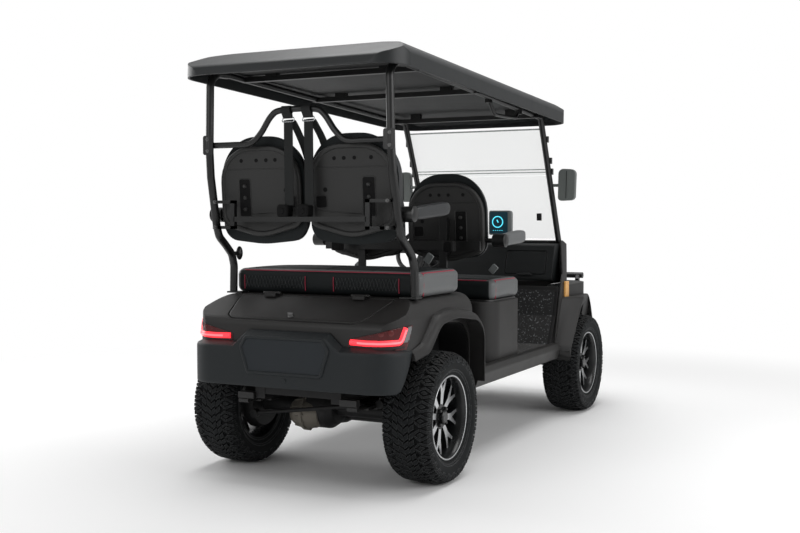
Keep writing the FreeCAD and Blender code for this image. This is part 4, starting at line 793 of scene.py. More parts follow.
def rim_form():
    form = Build()
    form.turned(RIM_SECTION, (0, 0, 0), ALONG_Y, steps=72, closed=True)
    form.turned(HUB_SECTION, (0, 0, 0), ALONG_Y, steps=40)
    for k in range(SPOKES):
        angle = math.radians(SPOKE_START + 360.0 / SPOKES * k)
        across = Vector((math.cos(angle), 0, -math.sin(angle)))
        up = Vector((math.sin(angle), 0, math.cos(angle)))
        form.slab(FORK, 0.020, lambda a, b, d: across * a + up * b + Vector((0, SPOKE_FACE - d, 0)))
    for k in range(4):
        angle = math.pi / 4 + math.pi / 2 * k
        place = Vector((math.cos(angle) * 0.043, CAP_FOOT, math.sin(angle) * 0.043))
        form.turned([(-0.001, 0.0105), (0.010, 0.0100), (0.015, 0.006)], place, ALONG_Y, steps=6)
    form.turned([(-0.001, 0.030), (0.018, 0.029), (0.022, 0.024)], (0, CAP_FOOT, 0), ALONG_Y, steps=28)
    for angle in round_angles(CAP_RIBS):
        edge = Vector((math.cos(angle) * 0.0298, CAP_FOOT, math.sin(angle) * 0.0298))
        form.bar([edge, edge + Vector((0, 0.017, 0))], 0.0016, sides=6)
    return form


def machined_and_lip_highlight(polygon):
    spot = polygon.center
    reach = math.hypot(spot.x, spot.z)
    face = abs(polygon.normal.y) > 0.9 and 0.044 < spot.y < 0.0465 and 0.06 < reach
    # Spoke faces are machined silver; the ring on the outer lip is silver as a painted highlight
    return face or (spot.y > 0.0885 and reach > 0.180)


on_wheels(rim_form(), "wheel_rim", "rim", [RIM_BLACK, SILVER], "rim_alloy", machined_and_lip_highlight, turns_about=True)

# %% [markdown]
# The seats are stitched vinyl over foam: grey at the ends, nearly black where people sit, with
# crimson cord in the seams. Every vinyl shares the moulded grain and differs in colour and gloss.

# %% Vinyl finishes
VINYL = finish("seat_vinyl_grey", (0.115, 0.12, 0.122), 0.42, specular=0.45, grain=0.55,
               grain_scale=520.0, rub_and_highlight_colour=(0.2, 0.2, 0.2), rub_and_highlight=0.12, edge=0.004)
VINYL_DARK = finish("seat_vinyl_dark", (0.0085, 0.011, 0.0118), 0.6, specular=0.22, grain=0.5,
                    grain_scale=620.0, edge=0.004)
VINYL_ARM = finish("arm_vinyl", (0.026, 0.028, 0.030), 0.45, specular=0.42, grain=0.55, grain_scale=560.0,
                   edge=0.004)
PIPING = finish("crimson_piping", (0.33, 0.018, 0.045), 0.4, specular=0.4, grain=0.2, edge=0.001)
STITCH = finish("pale_stitch", (0.10, 0.105, 0.105), 0.6, specular=0.3, grain=0.4, edge=0.001)

# %% [markdown]
# The seat cushions are foam blocks in vinyl. Foam pushes the top up into a low crown while the
# seams hold the edges, so a rounded grid is bent in code: crowned above, drawn in along the sides,
# and sunk where the stitching crosses the top. A grid keeps every seam exactly where it is wanted.

# %% Cushion grid
EDGE_TICKS = (0.0, 0.35, 0.7, 1.0)


def grid_ticks(length, radius, cell):
    rim = [radius * share for share in EDGE_TICKS]
    count = max(2, round((length - 2 * radius) / cell))
    middle = [radius + (length - 2 * radius) * k / count for k in range(1, count)]
    return rim + middle + [length - v for v in rim[::-1]]


def rounded_grid(low, high, radius, cell, mould):
    # A box with rounded edges, welded from six faces; mould(point) then bends it
    size = high - low
    half = size / 2
    ticks = [grid_ticks(size[i], radius, cell) for i in range(3)]
    index = {}
    points = []
    faces = []

    def spot(i, j, k):
        if (i, j, k) not in index:
            place = Vector((ticks[0][i], ticks[1][j], ticks[2][k])) - half
            inner = Vector([max(-half[n] + radius, min(half[n] - radius, place[n])) for n in range(3)])
            out = place - inner
            index[(i, j, k)] = len(points)
            points.append(mould(low + half + inner + out.normalized() * radius))
        return index[(i, j, k)]

    last = [len(t) - 1 for t in ticks]
    for axis in range(3):
        a, b = [n for n in range(3) if n != axis]
        for side in (0, last[axis]):
            for i in range(last[a]):
                for j in range(last[b]):
                    cell_corners = []
                    for di, dj in ((0, 0), (1, 0), (1, 1), (0, 1)):
                        key = [0, 0, 0]
                        key[axis], key[a], key[b] = side, i + di, j + dj
                        cell_corners.append(spot(*key))
                    faces.append(tuple(cell_corners))
    return points, faces


# %% [markdown]
# The cushion is bent from that grid: panel seams run fore and aft, cross seams run over them, and a
# border seam goes all round. A low crown between the seams makes the foam look pressed from below.

# %% Seat cushions
CUSHION_EDGE = 0.034
CUSHION_CELL = 0.0125
PANEL_SEAMS = (-0.24, 0.0, 0.24)
CROSS_SEAMS = [-0.72 + 0.36 * step for step in range(5)]
BORDER_X = 0.86
BORDER_Y = 0.93


def sewn(distance, width):
    # How far a seam pulls the vinyl down, 1 on the seam itself
    return math.exp(-(distance / width) ** 2)


def seat_cushion(name, node, body):
    low, high = box_of(node)
    middle = (low + high) / 2
    half = (high - low) / 2

    def mould(point):
        a = (point.x - middle.x) / half.x
        b = (point.y - middle.y) / half.y
        up = (point.z - low.z) / (high.z - low.z)
        point = point.copy()
        if up > 0.6:
            crown = 0.010 * (1 - a * a) * (1 - b ** 4) - 0.006
            pulls = [0.0]
            if abs(a) < BORDER_X:
                pulls += [sewn(point.y - y, 0.006) for y in PANEL_SEAMS]
                pulls.append(sewn(abs(b) - BORDER_Y, 0.009))
                if abs(b) < 0.86:
                    pulls += [0.75 * sewn(a - x, 0.025) for x in CROSS_SEAMS]
            if abs(b) < BORDER_Y:
                pulls.append(sewn(abs(a) - BORDER_X, 0.022))
            point.z += (crown - 0.0055 * max(pulls)) * min(1.0, (up - 0.6) / 0.3)
        belly = 0.006 * math.sin(math.pi * min(1.0, up / 0.85))
        if abs(a) > 0.9:
            point.x += math.copysign(belly * (1 - b * b) - 0.003, a)
        if abs(b) > 0.9:
            point.y += math.copysign(belly * (1 - a * a) - 0.003, b)
        return point

    points, faces = rounded_grid(low, high, CUSHION_EDGE, CUSHION_CELL, mould)
    piece = make_piece(name, points, faces, [VINYL, VINYL_DARK], "seat_vinyl", body=body, node=node)
    for polygon in piece.data.polygons:
        spot = polygon.center
        a = (spot.x - middle.x) / half.x
        b = abs(spot.y - middle.y) / half.y
        rear = a < -BORDER_X and b < 0.955 and spot.z < high.z - 0.016
        top = spot.z > high.z - 0.02 and b < BORDER_Y and abs(a) < BORDER_X
        polygon.material_index = 1 if rear or top else 0


def cushion_piping(name, node, body):
    # Cord sewn into the top seam all round, and down both rear corners
    low, high = box_of(node)
    form = Build()
    inset = 0.010
    z = high.z - 0.014
    seam = rounded_box((low.x + inset, low.y + inset), (high.x - inset, high.y - inset), 0.045, 6)
    form.bar([(x, y, z) for x, y in seam], 0.0034, sides=8, closed=True)
    for y in (low.y + 0.004, high.y - 0.004):
        form.bar([(low.x + 0.044, y, z), (low.x + 0.043, y + math.copysign(0.003, y), (z + low.z) / 2),
                  (low.x + 0.044, y, low.z + 0.006)], 0.0032, sides=8)
    form.piece(name, PIPING, "seat_vinyl", body=body)


for foam, piping, node, body in (("rear_seat", "rear_seat_piping", "rear_cushion", "chassis"),
                                 ("front_seat_foam", "front_seat_piping", "front_cushion", "front_seat")):
    seat_cushion(foam, node, body)
    cushion_piping(piping, node, body)
print("cushions", 2)

# %% [markdown]
# Each backrest pad is a soft dome clipped to its shell. Its outline has large round shoulders, so
# the grid of the pad is spread out from the middle to that outline instead of being a box. The
# front pads are thinner and end higher, to leave room for the front cushion when it tips up.

# %% Back pads
REAR_BACK = Vector((-1.318, 0.0, 1.092))
FRONT_BACK = Vector((-0.328, 0.0, 0.952))
BACK_RAKE = math.radians(-4)
PAD_CELLS = 30
PAD_MIDDLE = (0.236, 0.225)
PAD_SEAMS = (-0.12, -0.04, 0.04, 0.12)
PAD_BORDER = 0.8
BACK_PLACES = (("rear", REAR_BACK, 0.088, -0.040), ("front", FRONT_BACK, 0.056, 0.006))


def raked(point, spot):
    # Backrests lean back about the foot of their shell
    return Matrix.Rotation(BACK_RAKE, 4, "Y") @ (Vector(point) - spot) + spot


def pad_outline(low, foot):
    # The outline of one backrest, left side of the cart, as (y, z)
    return rounded_loop([
        (0.014, low + foot + 0.022, 0.080), (0.234, low + foot, 0.500), (0.454, low + foot + 0.022, 0.080),
        (0.454, low + 0.446, 0.192), (0.014, low + 0.446, 0.192)], 14)


def outline_reach(loop, centre, direction):
    # How far the outline is from the centre along a direction
    best = 0.0
    for (y0, z0), (y1, z1) in zip(loop, loop[1:] + loop[:1]):
        edge = Vector((y1 - y0, z1 - z0))
        start = Vector((y0, z0)) - centre
        cross = direction.x * edge.y - direction.y * edge.x
        if abs(cross) < 1e-12:
            continue
        far = (start.x * edge.y - start.y * edge.x) / cross
        share = (start.x * direction.y - start.y * direction.x) / cross
        if far > 0 and -1e-6 <= share <= 1 + 1e-6:
            best = max(best, far)
    return best


def pad_front(spot, side, deep, foot):
    # The domed face of a pad, as rows of points
    loop = pad_outline(spot.z, foot)
    centre = Vector((PAD_MIDDLE[0], spot.z + PAD_MIDDLE[1]))
    points = []
    for j in range(PAD_CELLS + 1):
        for i in range(PAD_CELLS + 1):
            a = 2 * i / PAD_CELLS - 1
            b = 2 * j / PAD_CELLS - 1
            rho = max(abs(a), abs(b))
            direction = Vector((a, b)).normalized() if rho > 0 else Vector((1, 0))
            place = centre + direction * rho * outline_reach(loop, centre, direction)
            pulls = [sewn(rho - PAD_BORDER, 0.03)]
            if rho < PAD_BORDER:
                pulls += [sewn(place.y - spot.z - 0.21 - seam, 0.006) for seam in PAD_SEAMS]
            swell = (1 - rho ** 7) ** 0.5
            depth = deep * (0.30 + 0.70 * swell) - 0.006 * max(pulls)
            points.append(Vector((spot.x + 0.0275 + depth, side * place.x, place.y)))
    return points


def back_pad(name, spot, side, deep, foot):
    points = pad_front(spot, side, deep, foot)
    size = PAD_CELLS + 1
    faces = []
    for j in range(PAD_CELLS):
        for i in range(PAD_CELLS):
            a = j * size + i
            faces.append((a, a + 1, a + size + 1, a + size))
    ring = list(range(size)) + [j * size + size - 1 for j in range(1, size)]
    ring += [(size - 1) * size + i for i in range(size - 2, -1, -1)]
    ring += [j * size for j in range(size - 2, 0, -1)]
    first = len(points)
    back = spot.x + 0.0275
    points += [Vector((back, points[k].y, points[k].z)) for k in ring]
    for k in range(len(ring)):
        n = (k + 1) % len(ring)
        faces.append((ring[k], ring[n], first + n, first + k))
    faces.append(tuple(range(first, first + len(ring))))
    points = [raked(p, spot) for p in points]
    piece = make_piece(name, points, faces, [VINYL_ARM, VINYL_DARK], "seat_vinyl", node="back_pads")
    middle = raked((back, side * PAD_MIDDLE[0], spot.z + PAD_MIDDLE[1]), spot)
    for polygon in piece.data.polygons:
        off = polygon.center - middle
        polygon.material_index = 1 if abs(off.y) < 0.15 and abs(off.z) < 0.16 else 0


for row, spot, deep, foot in BACK_PLACES:
    for side, hand in BOTH_SIDES:
        back_pad("%s_pad_%s" % (row, hand), spot, side, deep, foot)
print("pads", 4)

# %% [markdown]
# Tail lamps are a red lens over a black housing. A bright bar of light runs along the lower edge and
# turns up at the outer end. Such pieces glow by their own emission, and no lamp is hidden in them.

# %% Lens and screen finishes
def plain_skin(name, colour, values):
    material = bpy.data.materials.new(name)
    material.use_nodes = True
    shader = material.node_tree.nodes["Principled BSDF"]
    shader.inputs["Base Color"].default_value = (*colour, 1)
    for socket, value in values.items():
        shader.inputs[socket].default_value = value
    return material


def glow(name, colour, strength):
    return plain_skin(name, colour, {
        "Emission Color": (*colour, 1), "Emission Strength": strength, "Roughness": 0.3})


def clear(name, colour, roughness, transmission, alpha=1.0):
    return plain_skin(name, colour, {
        "Roughness": roughness, "Transmission Weight": transmission, "IOR": 1.45, "Alpha": alpha})


RED_LENS = finish("red_lens", (0.075, 0.004, 0.005), 0.16, specular=0.6, grain=0.0, edge=0.003)
RED_GLOW = glow("red_glow", (1.0, 0.035, 0.05), 1.3)
RED_WARM = glow("red_inner", (0.10, 0.006, 0.006), 0.05)
WHITE_GLOW = glow("lamp_core", (1.0, 0.16, 0.18), 1.15)
CLEAR_LENS = clear("clear_lens", (0.21, 0.215, 0.22), 0.16, 0.1)
AMBER_LENS = finish("amber_lens", (0.80, 0.42, 0.12), 0.18, specular=0.6, grain=0.0, edge=0.002)
SCREEN_TINT = clear("tinted_screen", (0.70, 0.76, 0.73), 0.05, 0.0, alpha=0.12)
GLASS_EDGE = clear("glass_edge", (0.30, 0.36, 0.34), 0.2, 0.0, alpha=0.55)
for node, material in (("tail_lamps", RED_LENS), ("windscreen", SCREEN_TINT), ("front_lamps", CLEAR_LENS)):
    wear_finish(node, material)

# %% [markdown]
# Behind the red lens of each tail lamp runs a bar of light with a turned-up end, and three inner
# lamps sit above it. Each point is placed by a ray onto the lens, so the bar follows its curve.

# %% Places on the lens
LENS_CORNER = (-1.326, 0.370)


def skin_of(node):
    thing = nodes[node]
    place = thing.matrix_world
    return BVHTree.FromPolygons(
        [place @ v.co for v in thing.data.vertices], [tuple(p.vertices) for p in thing.data.polygons])


LENS = skin_of("tail_lamps")


def on_lens(side, turn, z, lift=0.0):
    # Straight across the back for a negative turn (metres), then round the corner in degrees
    if turn < 0:
        start, along = Vector((-2.0, side * (LENS_CORNER[1] + turn), z)), Vector((1, 0, 0))
    else:
        angle = math.radians(turn)
        along = Vector((math.cos(angle), -side * math.sin(angle), 0))
        start = Vector((LENS_CORNER[0], side * LENS_CORNER[1], z)) - along * 0.6
    hit = LENS.ray_cast(start, along)[0]
    if hit is None:
        hit = LENS.find_nearest(start + along * 0.48)[0]
    return hit - along * lift


def lens_patch(side, rows, lift):
    # A sheet over the lens from rows of (turn, z) points
    form = Build()
    size = len(rows[0])
    points = [on_lens(side, turn, z, lift) for row in rows for turn, z in row]
    faces = [(j * size + i, j * size + i + 1, (j + 1) * size + i + 1, (j + 1) * size + i)
             for j in range(len(rows) - 1) for i in range(size - 1)]
    form.add(points, faces)
    return form


# %% [markdown]
# The lamp line goes along the foot of the lens, round the corner and up its outer edge. A brighter
# core lies on the bar, and a clear tip fills the corner outside the turned-up end.

# %% Tail lamps
LAMP_LINE = [(-0.066, 0.6515), (-0.03, 0.6505), (-0.002, 0.6495)]
LAMP_LINE += [(k, 0.649 + 0.004 * k / 60) for k in range(6, 61, 6)]
LAMP_LINE += [(63, 0.657), (66, 0.668), (69, 0.686), (72.5, 0.704), (74, 0.712)]
INNER_LAMPS = (14, 30, 46)
INNER_SIDES = 14
TIP_ROWS = []
for k in range(9):
    near = 66 + 14 * k / 8
    TIP_ROWS.append([(near + (90 - near) * i / 6, 0.652 + 0.064 * k / 8) for i in range(7)])

for side, hand in BOTH_SIDES:
    bar, core, inner = Build(), Build(), Build()
    bar.bar([on_lens(side, turn, z, -0.0045) for turn, z in LAMP_LINE], 0.0135, sides=14)
    bar.piece("lamp_bar_" + hand, RED_GLOW, "red_lens")
    core.bar([on_lens(side, turn, z, 0.0052) for turn, z in LAMP_LINE[1:-1]], 0.0055, sides=8)
    core.piece("lamp_core_" + hand, WHITE_GLOW, "red_lens")
    for turn in INNER_LAMPS:
        z = 0.688 + turn * 0.00012
        spots = [on_lens(side, turn + 5 * math.cos(a), z + 0.013 * math.sin(a), 0.0012)
                 for a in round_angles(INNER_SIDES)]
        inner.add(spots + [on_lens(side, turn, z, 0.004)],
                  [(k, (k + 1) % INNER_SIDES, INNER_SIDES) for k in range(INNER_SIDES)])
    inner.piece("lamp_inner_" + hand, RED_WARM, "red_lens")
    lens_patch(side, TIP_ROWS, 0.0014).piece("lamp_tip_" + hand, CLEAR_LENS, "clear_lens")
print("lamp bars", 2)

# %% [markdown]
# The rear bumper carries a raised bead round the plate recess and one screw below it. The lid has a
# small turning lock at its middle. The recess stays a blank field.

# %% Bumper and lid details
BUMPER_BACK = -1.507
PLATE_FIELD = finish("plate_field", (0.020, 0.024, 0.028), 0.62, specular=0.25, grain=0.1, edge=0.004)
BEAD = rounded_loop([(-0.183, 0.502, 0.014), (0.183, 0.502, 0.014), (0.220, 0.612, 0.014),
                     (0.192, 0.656, 0.014), (-0.192, 0.656, 0.014), (-0.220, 0.612, 0.014)], 5)
LID_NORMAL = Vector((-0.46, 0, 0.89))
LOCK_PLACE = Vector((-1.413, 0.020, 0.745))


def hex_bolt(form, place, axis, radius=0.008, height=0.006):
    form.turned([(-0.001, radius * 1.45), (0.0015, radius * 1.4)], place, axis, steps=18)
    head = [(0.001, radius), (height, radius * 0.96), (height + 0.001, radius * 0.7)]
    form.turned(head, place, axis, steps=6)


bead, field, lock = Build(), Build(), Build()
bead.bar([(BUMPER_BACK, y, z) for y, z in BEAD], 0.0085, sides=10, closed=True)
screw = (BUMPER_BACK, -0.003, 0.474)
bead.turned([(-0.001, 0.010), (0.002, 0.0095), (0.003, 0.007)], screw, REARWARD, steps=20)
bead.piece("plate_bead", BUMPER, "bumper_plastic")
field.slab(BEAD, 0.0035, lambda a, b, d: Vector((BUMPER_BACK - 0.0025 + d, a, b)))
field.piece("plate_field", PLATE_FIELD, "bumper_plastic")
lock.turned([(-0.002, 0.014), (0.003, 0.0135), (0.005, 0.011)], LOCK_PLACE, LID_NORMAL, steps=24)
lock.slab([(-0.013, -0.0035), (0.013, -0.0035), (0.013, 0.0035), (-0.013, 0.0035)], 0.012,
          lambda a, b, d: LOCK_PLACE + Vector((-0.003, a, 0.003 + b)) + LID_NORMAL * d)
lock.piece("lid_lock", TRIM, "trim_metal", body="rear_lid")

# %% [markdown]
# Two belts rise from boxes behind the rear seat to rings that hang from the hoop. From there each
# one drops forward between the backrests to its buckle. Webbing is a thin flat strip with edges.

# %% Straps and smooth lines
WEBBING = finish("belt_webbing", (0.016, 0.017, 0.017), 0.75, specular=0.25, grain=0.6,
                 grain_scale=700.0)
RING = finish("ring_steel", (0.55, 0.56, 0.57), 0.22, specular=0.5, metallic=1.0, grain=0.05,
              edge=0.001)
STRAP_CORNERS = ((-1, -1), (1, -1), (1, 1), (-1, 1))


def strap(form, line, across, width, thick=0.0022):
    # A flat strip along a line; across is the direction of its width
    across = Vector(across).normalized()
    line = [Vector(p) for p in line]
    rings = []
    for i, here in enumerate(line):
        along = line[min(i + 1, len(line) - 1)] - line[max(i - 1, 0)]
        up = along.cross(across).normalized() * thick / 2
        rings.append([here + across * (s * width / 2) + up * t for s, t in STRAP_CORNERS])
    form.lofted(rings)


def curve_through(points, steps=6):
    # A smooth line through the given points
    points = [Vector(p) for p in points]
    found = []
    for i in range(len(points) - 1):
        p0 = points[max(i - 1, 0)]
        p1, p2 = points[i], points[i + 1]
        p3 = points[min(i + 2, len(points) - 1)]
        for k in range(steps):
            t = k / steps
            found.append(0.5 * ((2 * p1) + (p2 - p0) * t + (2 * p0 - 5 * p1 + 4 * p2 - p3) * t * t
                                + (3 * p1 - p0 - 3 * p2 + p3) * t ** 3))
    found.append(points[-1])
    return found


# %% [markdown]
# Each belt rises to its ring, loops once over the hoop, and drops forward to its buckle. The smooth
# line through a few places gives webbing its natural sag.

# %% Rear belts
LOOP_X = -1.395
HOOP_TOP = 1.643
LOOP_RADIUS = 0.0165
BELT_WIDTH = 0.045
webbing, rings = Build(), Build()
for middle in (0.048, -0.055):
    hand = 1 if middle > 0 else -1
    rise = [(-1.378, middle, 1.228), (-1.3815, middle, 1.40), (-1.3835, middle, 1.52),
            (-1.384, middle, 1.599)]
    strap(webbing, curve_through(rise), ALONG_Y, BELT_WIDTH)
    loop = [(-1.3835, middle, 1.606)]
    for k in range(13):
        angle = math.radians(-62 + 304 * k / 12)
        loop.append((LOOP_X + LOOP_RADIUS * math.cos(angle), middle,
                     HOOP_TOP + LOOP_RADIUS * math.sin(angle)))
    strap(webbing, loop + [(-1.3875, middle, 1.606)], ALONG_Y, BELT_WIDTH + 0.001)
    ring = rounded_loop([(middle - 0.033, 1.592, 0.006), (middle + 0.033, 1.592, 0.006),
                         (middle + 0.026, 1.611, 0.006), (middle - 0.026, 1.611, 0.006)], 4)
    rings.bar([(-1.3845 + (z - 1.60) * 0.1, y, z) for y, z in ring], 0.0028, sides=8, closed=True)
    drop = [(-1.383, middle - 0.006, 1.600), (-1.360, middle - 0.014, 1.585), (-1.290, middle - 0.030, 1.47),
            (-1.236, middle - 0.034 * hand, 1.33), (-1.200, 0.036 * hand, 1.20), (-1.165, 0.026 * hand, 1.12)]
    strap(webbing, curve_through(drop), (0.25, 1, 0), BELT_WIDTH)
webbing.piece("rear_belts", WEBBING, "belt_webbing", node="belt_straps", smooth=False)
rings.piece("belt_rings", RING, "trim_metal")
print("belts", 2)

# %% [markdown]
# The wheel flares swell out of the body and end in a thin lip. Each is a loft along its wheel arch:
# the same rounded line is drawn several times, wider at the body and tighter toward the lip.

# %% Flare builder
ARCH_STEPS = 7


def add_arch(form, lines, side):
    # Lines are lists of 3-D points, one list for each step across the flare
    form.lofted([[Vector((x, side * y, z)) for x, y, z in station] for station in zip(*lines)])


# %% [markdown]
# A rear flare grows with its wheel arch, so one rounded line serves for all its steps. The outer
# edge comes in a little toward the tail, as the body does.

# %% Rear flares
# Each row is how far the line grows from the wheel arch, and its share of the way out
REAR_STEPS = ((0.046, 0.0), (0.044, 0.2), (0.040, 0.5), (0.031, 0.78), (0.018, 0.93), (0.004, 1.0),
              (0.0, 0.985), (0.004, 0.93), (0.004, 0.0))


def rear_line(grow):
    x = REAR_WHEEL_X
    return rounded_loop([
        (x + 0.372 + grow, 0.404, 0), (x + 0.372 + grow, 0.690 + grow, 0.110 + grow),
        (x + 0.105, 0.726 + grow, 0.400), (x - 0.035, 0.704 + grow, 0.100),
        (x - 0.140 - grow * 0.6, 0.588 + grow, 0.060), (-1.328, 0.567 + grow, 0)], ARCH_STEPS)


def rear_flare(form, side):
    lines = [[(x, 0.512 + share * (0.086 - 0.087 * (-0.693 - x)), z) for x, z in rear_line(grow)]
             for grow, share in REAR_STEPS]
    add_arch(form, lines, side)


# %% [markdown]
# A front flare has three lines of its own: the opening, the lip and the base on the body. Steps
# between them are mixed, and the outer edge draws in toward the nose.

# %% Front flares
FLARE_ROOT = 0.504


def front_line(near, far, end):
    # Near and far are the upper corners, behind and ahead of the wheel, as (reach, height, radius)
    x = FRONT_WHEEL_X
    reach, height, radius = end
    return rounded_loop([
        (x - reach, 0.400, 0), (x - reach, height, radius), (x - near[0], near[1], near[2]),
        (x + far[0], far[1], 0.15), (x + reach, height, radius), (x + reach, 0.400, 0)], ARCH_STEPS)


def front_flare(form, side):
    opening = front_line((0.150, 0.676, 0.19), (0.170, 0.676), (0.384, 0.402, 0.150))
    base = front_line((0.289, 0.708, 0.03), (0.295, 0.700), (0.425, 0.410, 0.130))
    lip = front_line((0.139, 0.708, 0.03), (0.185, 0.690), (0.390, 0.402, 0.130))
    stations = []
    for (bx, bz), (lx, lz), (ox, oz) in zip(base, lip, opening):
        out = 0.598 - 0.31 * max(0.0, lx - 0.880)
        share = (out - FLARE_ROOT) / 0.094
        tx, tz = bx + (lx - bx) * share, bz + (lz - bz) * share
        stations.append((
            (bx, 0.300, bz), (bx, FLARE_ROOT, bz),
            (bx + (tx - bx) * 0.5, (FLARE_ROOT + out) / 2 + 0.004, bz + (tz - bz) * 0.5 + 0.001),
            (tx, out, tz), (tx + (ox - tx) * 0.6, out, tz + (oz - tz) * 0.6),
            (ox, out - 0.004, oz), (ox, 0.300, oz)))
    add_arch(form, list(zip(*stations)), side)


flares = Build()
for side in (-1, 1):
    rear_flare(flares, side)
    front_flare(flares, side)
piece = flares.piece("swept_flares", FLARE, "flare_plastic", node="wheel_flares")
print("flares", len(piece.data.polygons))

# %% [markdown]
# The backrest shells are trays with a raised border, a row of holes, a slot and a small pocket. Each
# is a loft of one outline that shrinks as it goes over the border and down into the tray. The holes, the slot
# and the pocket are dark discs and sheets, painted shade in the openings.

# %% Back shells
# Each row is how far the outline is drawn in, and how far forward it lies
SHELL_STEPS = ((0.004, 0.0275), (0.0, 0.022), (0.0, 0.006), (0.0035, 0.0012), (0.007, 0.0),
               (0.014, 0.0), (0.018, 0.0015), (0.022, 0.0085), (0.026, 0.0095))
SHELL_HOLES = [(y, 0.0085, 0.339) for y in (0.152, 0.200, 0.252, 0.333)] + [(0.102, 0.010, 0.204)]
SHELL_SLOTS = (((0.288, 0.087), (0.349, 0.257)), ((0.053, 0.125), (0.109, 0.178)))
SHELL_RIBS = (((0.052, 0.300), (0.420, 0.300)), ((0.060, 0.112), (0.280, 0.100)))
SHELL_BOLTS = [(0.318, z) for z in (0.120, 0.172, 0.224)]
TRAY_DEPTH = 0.0095
HOLE_DEPTH = 0.0092


def shell_loop(inset, low):
    y0, y1 = 0.022 + inset, 0.446 - inset
    crown = 0.160 - inset
    return rounded_loop([
        (y0, low + 0.044 + inset, 0.056), (0.234, low - 0.010 + inset, 0.240),
        (y1, low + 0.044 + inset, 0.056),
        (y1, low + 0.402 - inset, crown), (y0, low + 0.402 - inset, crown)], 9)


def back_shell(spot, side):
    shell, dark = Build(), Build()

    def on_tray(depth, y, z):
        return Vector((spot.x + depth, side * y, spot.z + z))

    shell.lofted([[Vector((spot.x + depth, side * y, z)) for y, z in shell_loop(inset, spot.z)]
                  for inset, depth in SHELL_STEPS])
    for start, end in SHELL_RIBS:
        shell.bar([on_tray(TRAY_DEPTH, *start), on_tray(TRAY_DEPTH, *end)], 0.0022, sides=6)
    # Dark discs and sheets in the holes, the slot and the pocket paint the shade inside them
    for y, radius, z in SHELL_HOLES:
        dark.turned([(0.0, radius), (0.0012, radius)], on_tray(HOLE_DEPTH, y, z), REARWARD, steps=20)
    for low, high in SHELL_SLOTS:
        outline = rounded_box(low, high, 0.010, 4)
        dark.slab(outline, 0.0010, lambda a, b, d: on_tray(HOLE_DEPTH - d, a, b))
        shell.bar([on_tray(HOLE_DEPTH - 0.0006, a, b) for a, b in outline], 0.0022, sides=6, closed=True)
    for y, z in SHELL_BOLTS:
        bolt = on_tray(HOLE_DEPTH, y, z)
        shell.turned([(0.0, 0.010), (0.006, 0.009), (0.009, 0.006)], bolt, REARWARD, steps=12)
    for form in (shell, dark):
        form.points = [raked(p, spot) for p in form.points]
    return shell, dark


for row, spot, _, _ in BACK_PLACES:
    for side, hand in BOTH_SIDES:
        shell, dark = back_shell(spot, side)
        shell.piece("shell_%s_%s" % (row, hand), SHELL, "seat_shell", node="back_shells")
        dark.piece("shell_holes_%s_%s" % (row, hand), LINER, "seat_shell")
print("shells", 4)

# %% [markdown]
# The rear pair of shells hangs on a square bar between two square loops, which are bolted to the
# struts. A tube hoop rises between the struts and carries the belts. Its bends are a smooth curve.

# %% Hoop, bar and strut loops
BAR_X = -1.388
LOOP_BACK, LOOP_FRONT = -1.388, -1.366
HOOP_HALF = [(0.452, 1.500), (0.330, 1.500), (0.245, 1.503), (0.190, 1.545), (0.135, 1.618), (0.080, 1.643)]
HOOP_LINE = [(BAR_X, -y, z) for y, z in HOOP_HALF] + [(BAR_X, y, z) for y, z in HOOP_HALF[::-1]]
# Each row is a square bar of a loop: inner and outer side, front edge, bottom and top
LOOP_BARS = ((0.334, 0.356, LOOP_FRONT, 1.123, 1.252), (0.334, 0.452, LOOP_FRONT, 1.238, 1.252),
             (0.334, 0.426, LOOP_FRONT, 1.123, 1.137), (0.404, 0.452, -1.340, 1.123, 1.137))

hoop, loops, nuts = Build(), Build(), Build()
hoop.bar(curve_through(HOOP_LINE, 5), 0.0138, sides=16)
hoop.block((LOOP_BACK, -0.338, 1.156), (LOOP_FRONT, 0.338, 1.178))
for side in (-1, 1):
    near, far = sorted((side * 0.204, side * 0.264))
    hoop.block((-1.367, near, 1.159), (-1.285, far, 1.175))
    for inner, outer, front, bottom, top in LOOP_BARS:
        near, far = sorted((side * inner, side * outer))
        loops.block((LOOP_BACK, near, bottom), (front, far, top))
    outline = rounded_box((0.432, 1.457), (0.486, 1.544), 0.010, 4)
    loops.slab(outline, 0.004, lambda a, b, d: Vector((-1.4075 - d, side * a, b)))
    for z in (1.131, 1.245):
        hex_bolt(nuts, (-1.389, side * 0.440, z), REARWARD, 0.006, 0.006)
    for z in (1.474, 1.527):
        hex_bolt(nuts, (-1.4115, side * 0.462, z), REARWARD, 0.006, 0.005)
hoop.piece("hoop_and_bar", TUBE, "tube_paint", node="rear_seat_tubes")
loops.piece("strut_loops", TUBE, "tube_paint", node="rear_seat_posts")
nuts.piece("strut_nuts", TRIM, "trim_metal")
print("carriers", len(HOOP_LINE))

# %% [markdown]
# Two boxes behind the rear seat roll up the belts, and two more hang 75 mm behind the front seat's
# frame, with no bracket. They are moulded cases, lofted from the front face to a smaller rear face.
# The rear two have a round cover on the reel.

# %% Belt boxes
def belt_box(form, y, bottom, top, steps):
    # Bottom and top are the heights that each half width is measured from
    form.lofted([[Vector((x, a, b)) for a, b in rounded_loop([
        (y - half, bottom - half, 0.010), (y + half, bottom - half, 0.010),
        (y + half, top + half, 0.014), (y - half, top + half, 0.014)], 4)] for x, half in steps])


